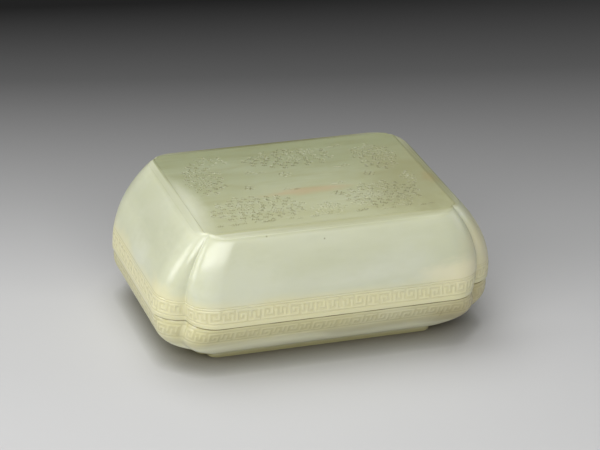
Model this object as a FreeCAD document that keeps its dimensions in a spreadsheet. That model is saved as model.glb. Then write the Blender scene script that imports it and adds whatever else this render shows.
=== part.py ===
import FreeCAD, Part
import math
import os
import Sketcher

# A covered box carved from two blocks of nephrite, with the ink stone and ink stick it holds.
# Millimetres, +Z up. The origin is the middle of the box on the surface that it stands on,
# +X runs along its length.
#
# Every level of the box has the same kind of plan: a rectangle with indented corners. At each
# corner two quarter-round lobes meet in a re-entrant notch, which stands one lobe radius inside
# the rectangle along both axes. The flanks are lofted through such plans, so the four notches
# run up the cover as flutes and die out at the corners of the top panel. A loft is ruled between
# many plans that follow one curve, which keeps its faces simple and its facets few.

SIZES = [
    # alias, value, what it is
    ("box_length", 140.0, "length over the rim"),
    ("box_width", 99.0, "width over the rim"),
    ("rim_lobe", 11.0, "radius of the corner lobes at the rim"),
    ("seam_height", 22.8, "height of the seam between cover and box"),
    ("total_height", 57.4, "height of the top panel"),
    ("panel_length", 101.0, "length of the flat top panel"),
    ("panel_width", 73.0, "width of the flat top panel"),
    ("panel_lobe", 1.6, "corner lobes of the panel"),
    ("bevel_width", 4.8, "bevel round the panel, in plan"),
    ("bevel_drop", 1.0, "fall of the bevel"),
    ("crease_lobe", 4.8, "corner lobes at the crease below the bevel"),
    ("flank_power", 2.2, "fullness of the cover's flanks"),
    ("cover_wall", 3.8, "wall of the cover at its rim"),
    ("top_thickness", 5.0, "thickness of the cover under the panel"),
    ("ceiling_inset", 2.0, "the ceiling's edge inside the crease"),
    ("ceiling_lobe", 5.5, "corner lobes of the ceiling"),
    ("socket_depth", 4.0, "upright stretch inside the cover's rim"),
    ("flange_height", 3.0, "locating flange above the seam"),
    ("flange_thickness", 2.0, "thickness of the flange"),
    ("flange_clearance", 0.3, "running gap between flange and cover"),
    ("foot_length", 101.6, "length over the foot ring"),
    ("foot_width", 61.8, "width over the foot ring"),
    ("foot_height", 3.0, "height of the foot ring"),
    ("foot_lobe", 4.0, "corner lobes of the foot ring"),
    ("foot_wall", 5.0, "width of the foot ring"),
    ("foot_recess", 2.2, "depth of the hollow inside the foot ring"),
    ("foot_step", 2.0, "the underside's edge outside the foot ring"),
    ("underside_lobe", 4.0, "corner lobes of the underside"),
    ("bowl_end_power", 2.8, "fullness of the underside's curve at the ends"),
    ("bowl_side_power", 1.6, "fullness of the underside's curve at the front and back"),
    ("floor_thickness", 4.0, "floor of the box above the foot's top"),
    ("well_length", 108.0, "flat floor inside the box, along X"),
    ("well_width", 64.0, "flat floor inside the box, along Y"),
    ("well_lobe", 5.0, "corner lobes of the floor"),
    ("stone_length", 80.0, "ink stone, along X"),
    ("stone_width", 42.0, "ink stone, along Y"),
    ("stone_height", 12.0, "ink stone, up"),
    ("stone_corner", 4.0, "radius of the ink stone's upright edges"),
    ("stone_edge", 1.0, "chamfer of its top and bottom edges"),
    ("stone_border", 4.0, "rim left round the grinding face"),
    ("grinding_depth", 1.2, "depth of the grinding face"),
    ("pool_length", 24.0, "pool at one end, along X, with its ramp"),
    ("pool_floor", 11.0, "flat floor of the pool, along X"),
    ("pool_draft", 0.8, "slope of the pool's other walls, in plan"),
    ("pool_depth", 5.6, "depth of the pool below the ink stone's top"),
    ("stone_offset", 10.0, "ink stone's middle behind the box's middle"),
    ("stick_length", 78.0, "ink stick, along X"),
    ("stick_width", 13.0, "ink stick, along Y"),
    ("stick_height", 9.0, "ink stick, up"),
    ("stick_corner", 2.0, "radius of the ink stick's upright edges"),
    ("stick_edge", 0.8, "chamfer of its top and bottom edges"),
    ("stick_border", 1.8, "raised frame on the ink stick's face"),
    ("stick_panel_depth", 0.5, "depth of the panel inside that frame"),
    ("content_gap", 4.5, "gap between ink stone and ink stick"),
]

# Strips of equal height that each curved loft is ruled in.
FLANK_STRIPS = 10
BOWL_STRIPS = 12
HOLLOW_STRIPS = 8
WELL_STRIPS = 8
TAPER = "1"  # power of a straight change from one plan to the next
QUARTER = math.pi / 2


def make_sheet(doc):
    """The driving sizes, one row each, with an alias on the value."""
    sheet = doc.addObject("Spreadsheet::Sheet", "sizes")
    for row, (alias, value, note) in enumerate(SIZES, start=1):
        sheet.set(f"A{row}", alias)
        sheet.set(f"B{row}", str(value))
        sheet.set(f"C{row}", note)
        sheet.setAlias(f"B{row}", alias)
    doc.recompute()
    return sheet


def size(*names):
    """The sum of some sizes, as an expression. A name with a minus is taken off."""
    terms = [f"- sizes.{n[1:]}" if n.startswith("-") else f"+ sizes.{n}" for n in names]
    return "(" + " ".join(terms).lstrip("+ ") + ")"


def plan(length, width, lobe, grow="0"):
    """One level of the box: half length, half width and lobe radius, all as expressions."""
    return (f"({length} / 2 + {grow})", f"({width} / 2 + {grow})", lobe)


def blend(start, end, fraction, power):
    """A value on the way from start to end, whose change goes with a power of the fraction."""
    return f"({start} + ({end} - {start}) * {fraction} ^ {power})"


RIM = plan(size("box_length"), size("box_width"), size("rim_lobe"))
CREASE = plan(size("panel_length"), size("panel_width"), size("crease_lobe"), size("bevel_width"))
PANEL = plan(size("panel_length"), size("panel_width"), size("panel_lobe"))
FOOT = plan(size("foot_length"), size("foot_width"), size("foot_lobe"))
UNDERSIDE = plan(size("foot_length"), size("foot_width"), size("underside_lobe"), size("foot_step"))
WELL_FLOOR = plan(size("well_length"), size("well_width"), size("well_lobe"))
CEILING = plan(size("panel_length"), size("panel_width"), size("ceiling_lobe"),
               size("bevel_width", "-ceiling_inset"))


def inside(outer, distance):
    """The plan that lies a distance inside another, with the same lobes."""
    return (f"({outer[0]} - {distance})", f"({outer[1]} - {distance})", outer[2])


SOCKET = inside(RIM, size("cover_wall"))
FLANGE_OUTSIDE = inside(RIM, size("cover_wall", "flange_clearance"))
FLANGE_INSIDE = inside(RIM, size("cover_wall", "flange_clearance", "flange_thickness"))
FOOT_INSIDE = inside(FOOT, size("foot_wall"))


def sketch_at(body, name, level):
    """An empty sketch on the body's own XY plane, lifted to a level."""
    plane = next(f for f in body.Origin.OriginFeatures if f.Role == "XY_Plane")
    sketch = body.newObject("Sketcher::SketchObject", name)
    sketch.AttachmentSupport = [(plane, "")]
    sketch.MapMode = "FlatFace"
    sketch.setExpression("AttachmentOffset.Base.z", level)
    return sketch


def bind(sketch, kind, arguments, expression):
    """A driving dimension whose value comes from an expression."""
    value = sketch.evalExpression(expression)
    index = sketch.addConstraint(Sketcher.Constraint(kind, *arguments, float(value)))
    sketch.setExpression(f"Constraints[{index}]", expression)


def lobed_sketch(body, name, outline, level):
    """The indented-corner plan: four sides and eight quarter-round lobes, anticlockwise."""
    sketch = sketch_at(body, name, level)
    half_x, half_y, lobe = (float(sketch.evalExpression(e)) for e in outline)
    up = FreeCAD.Vector(0, 0, 1)
    signs = ((1, 1), (-1, 1), (-1, -1), (1, -1))
    for turn, (sx, sy) in enumerate(signs):
        on_end = FreeCAD.Vector(sx * (half_x - lobe), sy * (half_y - 2 * lobe), 0)
        on_side = FreeCAD.Vector(sx * (half_x - 2 * lobe), sy * (half_y - lobe), 0)
        centres = (on_end, on_side) if turn % 2 == 0 else (on_side, on_end)
        if turn % 2 == 0:
            start = FreeCAD.Vector(sx * half_x, -sy * (half_y - 2 * lobe), 0)
            end = FreeCAD.Vector(sx * half_x, sy * (half_y - 2 * lobe), 0)
        else:
            start = FreeCAD.Vector(-sx * (half_x - 2 * lobe), sy * half_y, 0)
            end = FreeCAD.Vector(sx * (half_x - 2 * lobe), sy * half_y, 0)
        sketch.addGeometry(Part.LineSegment(start, end), False)
        for centre in centres:
            circle = Part.Circle(centre, up, lobe)
            sketch.addGeometry(Part.ArcOfCircle(circle, turn * QUARTER, (turn + 1) * QUARTER), False)
    constrain_lobed(sketch, outline)
    return sketch


def constrain_lobed(sketch, outline):
    """Closes the plan, makes its lobes tangent, equal and square to the notches, and sizes it."""
    start, end, centre = 1, 2, 3
    origin = (-1, 1)
    for turn in range(4):
        line, first, second = 3 * turn, 3 * turn + 1, 3 * turn + 2
        following = (3 * turn + 3) % 12
        sketch.addConstraint(Sketcher.Constraint("Tangent", line, end, first, start))
        sketch.addConstraint(Sketcher.Constraint("Coincident", first, end, second, start))
        sketch.addConstraint(Sketcher.Constraint("Tangent", second, end, following, start))
        across, along = ("Vertical", "Horizontal") if turn % 2 == 0 else ("Horizontal", "Vertical")
        sketch.addConstraint(Sketcher.Constraint(across, line))
        sketch.addConstraint(Sketcher.Constraint(across, first, centre, first, end))
        sketch.addConstraint(Sketcher.Constraint(along, second, centre, second, start))
        for arc in (first, second):
            if arc > 1:
                sketch.addConstraint(Sketcher.Constraint("Equal", 1, arc))
    bind(sketch, "Radius", (1,), outline[2])
    bind(sketch, "DistanceX", (*origin, 0, start), outline[0])
    bind(sketch, "DistanceY", (*origin, 3, start), outline[1])
    bind(sketch, "DistanceX", (6, start, *origin), outline[0])
    bind(sketch, "DistanceY", (9, start, *origin), outline[1])


def rectangle_sketch(body, name, low_x, high_x, half_y, corner, level):
    """A rectangle with round corners, from low_x to high_x and half_y to either side."""
    sketch = sketch_at(body, name, level)
    x0, x1, y1, r = (float(sketch.evalExpression(e)) for e in (low_x, high_x, half_y, corner))
    up = FreeCAD.Vector(0, 0, 1)
    ends = (((x1, r - y1), (x1, y1 - r)), ((x1 - r, y1), (x0 + r, y1)),
            ((x0, y1 - r), (x0, r - y1)), ((x0 + r, -y1), (x1 - r, -y1)))
    centres = ((x1 - r, y1 - r), (x0 + r, y1 - r), (x0 + r, r - y1), (x1 - r, r - y1))
    for turn in range(4):
        start, end = (FreeCAD.Vector(*point, 0) for point in ends[turn])
        sketch.addGeometry(Part.LineSegment(start, end), False)
        circle = Part.Circle(FreeCAD.Vector(*centres[turn], 0), up, r)
        sketch.addGeometry(Part.ArcOfCircle(circle, turn * QUARTER, (turn + 1) * QUARTER), False)
    for turn in range(4):
        line, arc = 2 * turn, 2 * turn + 1
        following = (2 * turn + 2) % 8
        sketch.addConstraint(Sketcher.Constraint("Tangent", line, 2, arc, 1))
        sketch.addConstraint(Sketcher.Constraint("Tangent", arc, 2, following, 1))
        sketch.addConstraint(Sketcher.Constraint("Vertical" if turn % 2 == 0 else "Horizontal", line))
        if arc > 1:
            sketch.addConstraint(Sketcher.Constraint("Equal", 1, arc))
    bind(sketch, "Radius", (1,), corner)
    bind(sketch, "DistanceX", (-1, 1, 0, 1), high_x)
    bind(sketch, "DistanceX", (-1, 1, 4, 1), low_x)
    bind(sketch, "DistanceY", (-1, 1, 2, 1), half_y)
    bind(sketch, "DistanceY", (6, 1, -1, 1), half_y)
    return sketch


def new_body(doc, label):
    body = doc.addObject("PartDesign::Body", label)
    body.Label = label
    return body


def ruled_loft(body, kind, name, sketches):
    """A loft that runs straight from each sketch to the next, added to the body or cut from it."""
    feature = body.newObject(f"PartDesign::{kind}", name)
    feature.Profile = sketches[0]
    feature.Sections = sketches[1:]
    feature.Ruled = True
    return feature


def lobed_loft(body, kind, name, start, end, low, high, strips=1, powers=(TAPER, TAPER)):
    """A loft from one lobed plan to another. Its half length and half width each change with a
    power of the height, and its lobes evenly."""
    sketches = []
    for number in range(strips + 1):
        fraction = number / strips
        outline = [blend(a, b, fraction, p) for a, b, p in zip(start, end, (*powers, TAPER))]
        level = blend(low, high, fraction, TAPER)
        sketches.append(lobed_sketch(body, f"{name}_plan_{number}", outline, level))
    return ruled_loft(body, kind, name, sketches)


def prism(body, kind, name, sketch, length, upwards):
    """A Pad or a Pocket. A Pad rises unless reversed, and a Pocket goes down unless reversed."""
    feature = body.newObject(f"PartDesign::{kind}", name)
    feature.Profile = sketch
    feature.setExpression("Length", length)
    feature.Reversed = upwards if kind == "Pocket" else not upwards
    return feature


def make_cover(doc):
    """The cover: fluted flanks and a bevelled panel over a hollow of even wall."""
    body = new_body(doc, "cover")
    seam, crease = size("seam_height"), size("total_height", "-bevel_drop")
    fullness = (size("flank_power"), size("flank_power"))
    lobed_loft(body, "AdditiveLoft", "flanks", RIM, CREASE, seam, crease, FLANK_STRIPS, fullness)
    lobed_loft(body, "AdditiveLoft", "bevel", CREASE, PANEL, crease, size("total_height"))
    socket = lobed_sketch(body, "socket_plan", SOCKET, seam)
    prism(body, "Pocket", "socket", socket, size("socket_depth"), upwards=True)
    lobed_loft(body, "SubtractiveLoft", "hollow", SOCKET, CEILING,
               size("seam_height", "socket_depth"), size("total_height", "-top_thickness"),
               HOLLOW_STRIPS, fullness)
    return body


def make_box(doc):
    """The box: a rounded bowl on a foot ring, with the flange that the cover slips over."""
    body = new_body(doc, "box")
    seam, foot, floor = size("seam_height"), size("foot_height"), size("foot_height", "floor_thickness")
    fullness = (size("bowl_end_power"), size("bowl_side_power"))
    lobed_loft(body, "AdditiveLoft", "bowl", RIM, UNDERSIDE, seam, foot, BOWL_STRIPS, fullness)
    flange = lobed_sketch(body, "flange_plan", FLANGE_OUTSIDE, seam)
    prism(body, "Pad", "flange", flange, size("flange_height"), upwards=True)
    ring = lobed_sketch(body, "foot_plan", FOOT, "0 mm")
    prism(body, "Pad", "foot", ring, size("foot_height"), upwards=True)
    recess = lobed_sketch(body, "recess_plan", FOOT_INSIDE, "0 mm")
    prism(body, "Pocket", "foot_recess", recess, size("foot_recess"), upwards=True)
    mouth = lobed_sketch(body, "mouth_plan", FLANGE_INSIDE, size("seam_height", "flange_height"))
    prism(body, "Pocket", "mouth", mouth, size("flange_height"), upwards=False)
    lobed_loft(body, "SubtractiveLoft", "well", FLANGE_INSIDE, WELL_FLOOR, seam, floor,
               WELL_STRIPS, fullness)
    return body


def break_edges(body, name, bar, width):
    """Chamfers the edges that lie flat, at the top and bottom of a bar."""
    level = 1e-6
    names = [f"Edge{index}" for index, edge in enumerate(bar.Shape.Edges, start=1)
             if edge.BoundBox.ZLength < level]
    feature = body.newObject("PartDesign::Chamfer", name)
    feature.Base = (bar, names)
    feature.setExpression("Size", width)
    return feature


def make_ink_stone(doc):
    """The ink stone: a slab with a sunk grinding face that slopes into a pool at one end."""
    body = new_body(doc, "ink_stone")
    half_x, half_y = f"({size('stone_length')} / 2)", f"({size('stone_width')} / 2)"
    top, border = size("stone_height"), size("stone_border")
    slab = rectangle_sketch(body, "slab_plan", f"(-{half_x})", half_x, half_y,
                            size("stone_corner"), "0 mm")
    pad = prism(body, "Pad", "slab", slab, top, upwards=True)
    doc.recompute()
    break_edges(body, "slab_edges", pad, size("stone_edge"))
    inner_x, inner_y = f"({half_x} - {border})", f"({half_y} - {border})"
    face = rectangle_sketch(body, "face_plan", f"(-{inner_x})", inner_x, inner_y,
                            size("stone_corner"), top)
    prism(body, "Pocket", "grinding_face", face, size("grinding_depth"), upwards=False)
    draft = size("pool_draft")
    brim = rectangle_sketch(body, "pool_brim", f"(-{inner_x})", f"({size('pool_length')} - {inner_x})",
                            inner_y, size("stone_corner"), size("stone_height", "-grinding_depth"))
    ground = rectangle_sketch(body, "pool_ground", f"({draft} - {inner_x})",
                              f"({size('pool_draft', 'pool_floor')} - {inner_x})",
                              f"({inner_y} - {draft})", size("stone_corner"),
                              size("stone_height", "-pool_depth"))
    ruled_loft(body, "SubtractiveLoft", "pool", [brim, ground])
    body.setExpression("Placement.Base.y", size("stone_offset"))
    body.setExpression("Placement.Base.z", size("foot_height", "floor_thickness"))
    return body


def make_ink_stick(doc):
    """The ink stick: a moulded bar with a plain sunk panel inside a raised frame."""
    body = new_body(doc, "ink_stick")
    half_x, half_y = f"({size('stick_length')} / 2)", f"({size('stick_width')} / 2)"
    top, border = size("stick_height"), size("stick_border")
    bar = rectangle_sketch(body, "bar_plan", f"(-{half_x})", half_x, half_y,
                           size("stick_corner"), "0 mm")
    pad = prism(body, "Pad", "bar", bar, top, upwards=True)
    doc.recompute()
    break_edges(body, "bar_edges", pad, size("stick_edge"))
    inner_x, inner_y = f"({half_x} - {border})", f"({half_y} - {border})"
    panel = rectangle_sketch(body, "panel_plan", f"(-{inner_x})", inner_x, inner_y,
                             size("stick_corner"), top)
    prism(body, "Pocket", "panel", panel, size("stick_panel_depth"), upwards=False)
    before_stone = f"({size('stone_offset')} - {size('stone_width')} / 2 - {size('content_gap')}"
    body.setExpression("Placement.Base.y", before_stone + f" - {half_y})")
    body.setExpression("Placement.Base.z", size("foot_height", "floor_thickness"))
    return body


def check(doc, bodies):
    """Stops on a failed object, a cut that removes nothing, or a shape that isn't one solid."""
    for thing in doc.Objects:
        if "Invalid" in thing.State or "Error" in thing.State:
            raise RuntimeError(f"{thing.Label} failed: {thing.State}")
        if thing.TypeId in ("PartDesign::Pocket", "PartDesign::SubtractiveLoft"):
            if thing.Shape.Volume > thing.BaseFeature.Shape.Volume - 1.0:
                raise RuntimeError(f"{thing.Label} cuts nothing")
    for body in bodies:
        if body.Shape.isNull() or not body.Shape.isValid() or len(body.Shape.Solids) != 1:
            raise RuntimeError(f"{body.Label} isn't one valid solid")


doc = FreeCAD.newDocument("ink_stick_and_stone_box")
make_sheet(doc)
bodies = [make_box(doc), make_cover(doc), make_ink_stone(doc), make_ink_stick(doc)]
doc.recompute()
check(doc, bodies)
os.makedirs("parts", exist_ok=True)
for body in bodies:
    body.Shape.exportStep(f"parts/{body.Label}.step")
    box = body.Shape.BoundBox
    print(f"{body.Label}: {body.Shape.Volume / 1000:.1f} cm3, "
          f"{box.XLength:.2f} x {box.YLength:.2f} x {box.ZLength:.2f} mm, "
          f"z {box.ZMin:.2f} to {box.ZMax:.2f}")
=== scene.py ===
# %% [markdown]
# # A nephrite box for an ink stone and an ink stick
#
# The real object is carved from two blocks of pale green jade. Its plan is a rectangle with
# indented corners, its cover rises over fluted flanks to a flat panel with a fine incised design,
# and two low fret bands run round the seam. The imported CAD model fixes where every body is, so it
# is loaded first, and every size below is read from it or stated, in millimetres where no comment
# says metres.

# %% Load the frame
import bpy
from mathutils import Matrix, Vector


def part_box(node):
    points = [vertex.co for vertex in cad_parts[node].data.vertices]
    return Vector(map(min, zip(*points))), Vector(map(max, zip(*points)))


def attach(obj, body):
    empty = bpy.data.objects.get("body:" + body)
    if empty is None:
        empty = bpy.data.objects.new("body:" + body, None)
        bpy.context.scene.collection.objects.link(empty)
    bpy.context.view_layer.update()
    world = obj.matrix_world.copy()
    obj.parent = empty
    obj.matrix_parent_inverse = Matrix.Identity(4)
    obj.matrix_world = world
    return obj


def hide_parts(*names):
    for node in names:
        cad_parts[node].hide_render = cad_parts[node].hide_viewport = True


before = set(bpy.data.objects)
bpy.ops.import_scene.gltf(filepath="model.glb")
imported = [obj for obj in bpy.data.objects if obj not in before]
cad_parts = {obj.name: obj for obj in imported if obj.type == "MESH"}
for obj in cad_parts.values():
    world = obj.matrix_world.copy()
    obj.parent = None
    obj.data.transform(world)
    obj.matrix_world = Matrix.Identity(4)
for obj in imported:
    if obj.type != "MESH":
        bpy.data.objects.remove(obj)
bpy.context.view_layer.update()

# %% Tools and units
import math

import bpy
import numpy as np
from mathutils import Matrix, Vector
from mathutils.geometry import delaunay_2d_cdt

MM = 0.001


def corners_mm(node):
    """The lowest and highest corner of a CAD node, in millimetres."""
    low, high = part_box(node)
    return np.array(low) / MM, np.array(high) / MM


cover_low, cover_high = corners_mm("cover")
SEAM = cover_low[2]
TOP = cover_high[2]
print("seam at %.1f mm, top at %.1f mm" % (SEAM, TOP))

# %% [markdown]
# ## The camera
#
# A small carved object is best shown with a long lens from a little above, so that upright edges
# stay nearly parallel. The camera is set by its turn round the object, its height angle and its
# distance, which are easier to judge than a location and a rotation.

# %% Camera
FRAME_WIDTH, FOCAL = 600, 2569.38       # in pixels
TURN, RISE, ROLL = (math.radians(v) for v in (-19.932, 25.761, -2.388))
SHIFT_RIGHT, SHIFT_UP, DISTANCE = -1.252, -34.25, 1046.667      # in millimetres
SENSOR = 36.0                           # in millimetres

backward = Vector((math.sin(TURN) * math.cos(RISE), -math.cos(TURN) * math.cos(RISE), math.sin(RISE)))
level_right = Vector((math.cos(TURN), math.sin(TURN), 0.0))
level_up = backward.cross(level_right)
right = math.cos(ROLL) * level_right - math.sin(ROLL) * level_up
up = math.sin(ROLL) * level_right + math.cos(ROLL) * level_up
place = (DISTANCE * backward - SHIFT_RIGHT * right - SHIFT_UP * up) * MM

camera_data = bpy.data.cameras.new("camera")
camera_data.sensor_width = SENSOR
camera_data.sensor_fit = "HORIZONTAL"
camera_data.lens = FOCAL / FRAME_WIDTH * SENSOR
camera_data.clip_start, camera_data.clip_end = 0.05, 20.0
camera = bpy.data.objects.new("camera", camera_data)
bpy.context.collection.objects.link(camera)
camera.matrix_world = Matrix.Translation(place) @ Matrix((right, up, backward)).transposed().to_4x4()
bpy.context.scene.camera = camera
print("lens %.1f mm, %.2f m away" % (camera_data.lens, DISTANCE * MM))

# %% [markdown]
# ## The indented-corner outline
#
# Every level of the box has the same kind of outline: two quarter-round lobes meet at each corner
# in a re-entrant valley. On the cover the lobes are drawn out along the sides as they rise, so the
# flutes grow soft. One quarter is worked out from five stretches (half an end, a lobe, the valley,
# the second lobe, half a side) and mirrored twice. Because a column keeps its stretch and its share
# of it at every level, the columns of all levels line up.

# %% Outline
def quarter_outline(level, place):
    """One quarter of the outline, for each level and each place along it.

    The places are one row for all levels, or one row for each.
    A level is half length, half width, the lobe's size across, its length over that size, the
    angle in degrees by which both lobes stop short of each other, and z. A lobe is a quarter of an
    ellipse. The valley between the two is a parabola that both lobes run into without a kink: its
    middle control point is where their end tangents cross on the corner's diagonal.
    """
    a, b, lobe, stretch_out, short = (level[:, k:k + 1] for k in range(5))
    far, short = lobe * stretch_out, np.radians(short)
    brink_x, brink_y = lobe * np.sin(short), -far * (1 - np.cos(short))
    fall = lobe * np.cos(short) + far * np.sin(short)
    cross = brink_x - (brink_x - brink_y) / fall * lobe * np.cos(short)
    place = np.broadcast_to(place, (len(level), np.shape(place)[-1]))
    stretch = np.minimum(np.floor(place), 4)
    share = place - stretch
    first, second = share * (math.pi / 2 - short), short + share * (math.pi / 2 - short)
    left, middle, late = (1 - share) ** 2, 2 * share * (1 - share), share ** 2
    valley_x = a - lobe + left * brink_x + middle * cross + late * brink_y
    valley_y = b - lobe + left * brink_y + middle * cross + late * brink_x
    x = [a + 0 * share, a - lobe + lobe * np.cos(first), valley_x,
         a - lobe - far + far * np.cos(second), (a - lobe - far) * (1 - share)]
    y = [(b - lobe - far) * share, b - lobe - far + far * np.sin(first), valley_y,
         b - lobe + lobe * np.sin(second), b + 0 * share]
    here = [stretch == k for k in range(5)]
    return np.select(here, x), np.select(here, y)


def mirrored(quarter, sign_x=1, sign_y=1):
    """A whole round: the quarter, its mirror image, and both of them again turned half round."""
    return np.hstack([quarter, sign_x * quarter[:, -2::-1], sign_x * sign_y * quarter[:, 1:],
                      sign_y * quarter[:, -2:0:-1]])


def rings(levels, place):
    """Points of closed rings, in millimetres: one ring for each level, whose last number is z."""
    x, y = quarter_outline(levels, place)
    z = np.broadcast_to(levels[:, 5:6], (len(levels), 4 * (x.shape[1] - 1)))
    return np.dstack([mirrored(x, -1, 1), mirrored(y, 1, -1), z])


def along(start, end, share):
    """Levels on the straight way from one level to another."""
    start, end, share = np.array(start), np.array(end), np.atleast_1d(share)
    return start + (end - start) * share[:, None]


def rounded(before, corner, after, steps):
    """Levels that round off a corner: a parabola that is tangent to both ways into it."""
    before, corner, after = np.array(before), np.array(corner), np.array(after)
    s = np.linspace(0, 1, steps)[:, None]
    return (1 - s) ** 2 * before + 2 * s * (1 - s) * corner + s ** 2 * after


trial_level = np.array([[30.0, 20.0, 5.0, 1.0, 7.0, 0.0]])
print("points of a trial ring:", rings(trial_level, np.linspace(0, 5, 11)).shape[1])

# %% [markdown]
# ## How the outline changes with the height
#
# A carver saws the block to the widest outline and then works the flanks down by eye. Here the
# same is done with formulas: the sides fall back from the rim with a power of the height, so a
# flank starts upright and bends in near the panel, and the bowl turns in under the seam in the
# same way. The lobes shrink evenly with the height, which draws the flutes together towards the
# panel's corners. Powers are easier to tune to a real curve than the control points of a spline.

# %% Levels of the cover and the box
RIM_LOBE, CREASE_LOBE, PANEL_LOBE = 11.0, 4.8, 1.6
PANEL_HALF, CREASE_HALF, BEVEL_DROP = (51.4, 37.1), (55.3, 41.3), 1.0
FLANK_POWER, BOWL_END_POWER, BOWL_SIDE_POWER = 2.2, 2.8, 1.6
FOOT_HALF, FOOT_HEIGHT, FOOT_LOBE, FOOT_STEP, UNDERSIDE_LOBE = (50.8, 30.9), 3.0, 4.0, 2.0, 4.0
RIM_HALF = (cover_high[0], cover_high[1])
SET_BACK = 0.75                 # how far the box's rim lies behind the cover's lip
CREASE_Z = TOP - BEVEL_DROP
LOBE_DRAW = 1.1                 # how much longer than round the lobes are at the crease
SHORT_RIM, SHORT_CREASE, SHORT_UNDER = 7.0, 2.5, 11.0    # softness of the valley, in degrees


def flank_levels(z):
    """Levels of the cover's flank: the sides fall back with a power of the height."""
    z = np.atleast_1d(z)
    t = (z - SEAM) / (CREASE_Z - SEAM)
    bend = t ** FLANK_POWER
    short = SHORT_RIM + (SHORT_CREASE - SHORT_RIM) * np.sqrt(np.maximum(t, 0))
    return np.column_stack([RIM_HALF[0] + (CREASE_HALF[0] - RIM_HALF[0]) * bend,
                            RIM_HALF[1] + (CREASE_HALF[1] - RIM_HALF[1]) * bend,
                            RIM_LOBE + (CREASE_LOBE - RIM_LOBE) * t, 1 + LOBE_DRAW * t, short, z])


def bowl_levels(z):
    """Levels of the box's underside: the sides turn in with powers of the depth below the seam."""
    z = np.atleast_1d(z)
    t = (SEAM - z) / (SEAM - FOOT_HEIGHT)
    length = RIM_HALF[0] + (FOOT_HALF[0] + FOOT_STEP - RIM_HALF[0]) * t ** BOWL_END_POWER
    width = RIM_HALF[1] + (FOOT_HALF[1] + FOOT_STEP - RIM_HALF[1]) * t ** BOWL_SIDE_POWER
    inset = SET_BACK * (1 - t)
    lobe = RIM_LOBE + (UNDERSIDE_LOBE - RIM_LOBE) * t
    short = SHORT_RIM + (SHORT_UNDER - SHORT_RIM) * t
    return np.column_stack([length - inset, width - inset, lobe, 1 + 0 * t, short, z])


def level(half, lobe, short, z, draw=1.0):
    """One level as a plain list, from its half sizes, its lobe, its valley's softness and its height."""
    return [half[0], half[1], lobe, draw, short, z]


print("flank at mid height:", flank_levels((SEAM + CREASE_Z) / 2).round(2))

# %% [markdown]
# ## The fret band
#
# The band is the traditional key fret: square spirals and T hooks on one running line, carved in
# low relief. It is drawn on a grid of small cells, six high. Instead of a very fine even mesh,
# the mesh gets two columns close together at each cell's edge, and the same for rows: the tops
# stay flat, the walls are crisp, and there are few faces.

# %% Fret unit
FRET = ("#####.#####.",
        "#...#...#...",
        "#.#.#.#.#.#.",
        "#.###.#.#.#.",
        "#.....#...#.",
        "############")
fret_unit = np.array([[mark == "#" for mark in line] for line in FRET])
fret_pair = np.hstack([fret_unit, fret_unit[::-1]])     # the second unit hangs upside down
FRET_ROWS, UNIT_CELLS = fret_unit.shape
print("fret unit: %d rows, %d cells" % fret_unit.shape)

# %% [markdown]
# ## Columns that carry the fret
#
# The carver steps the fret out along the rim so that whole units fill each side, and leaves a plain
# strip where two lobes meet. The columns of the mesh are set out in the same way, by the length
# walked along the rim: even cells on the ends and on the sides, a strip at each valley, and a
# double column at each edge. A place is then worked out for each column once, and every level uses
# it. On the bowl the lobes shrink, so there the columns are shared out anew to stay upright.

# %% Columns
VALLEY_STRIP = 1.0      # plain strip on each side of a valley
STRIP_GAP = 0.45        # sunk gap between that strip and the fret
WALL = 0.12             # half the width of a relief wall
END_UNITS, SIDE_UNITS = 4, 6
STEPS_IN_STRETCH = 200  # short chords by which a stretch is measured


def stretch_lengths(level):
    """Lengths of the five stretches of a quarter outline, each the sum of short chords."""
    x, y = quarter_outline(level, np.linspace(0, 5, 5 * STEPS_IN_STRETCH + 1))
    steps = np.hypot(np.diff(x[0]), np.diff(y[0]))
    return steps.reshape(5, STEPS_IN_STRETCH).sum(axis=1)


def pair_up(edges):
    """Two columns or rows, one wall apart, at each edge between cells."""
    return np.sort(np.concatenate([edges - WALL, edges + WALL]))


lengths = stretch_lengths(flank_levels(SEAM))
ends = np.concatenate([[0.0], np.cumsum(lengths)])
valley_at = ends[2] + lengths[2] / 2
fret_stop = valley_at - VALLEY_STRIP - STRIP_GAP
fret_start = valley_at + VALLEY_STRIP + STRIP_GAP
end_edges = np.linspace(0, fret_stop, END_UNITS * UNIT_CELLS + 1)
side_edges = np.linspace(fret_start, ends[-1], SIDE_UNITS * UNIT_CELLS + 1)
strip_edges = np.array([valley_at - VALLEY_STRIP, valley_at + VALLEY_STRIP])
inner_strip = np.linspace(strip_edges[0] + WALL, strip_edges[1] - WALL, 13)[1:-1]
column_at = np.sort(np.concatenate([[0.0, ends[-1]], pair_up(end_edges[1:]), inner_strip,
                                    pair_up(strip_edges), pair_up(side_edges[:-1])]))
stretch = np.clip(np.searchsorted(ends, column_at, side="right") - 1, 0, 4)
column_place = stretch + (column_at - ends[stretch]) / lengths[stretch]
print("columns in a quarter: %d, fret cell %.2f mm" % (len(column_place), end_edges[1]))

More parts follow.
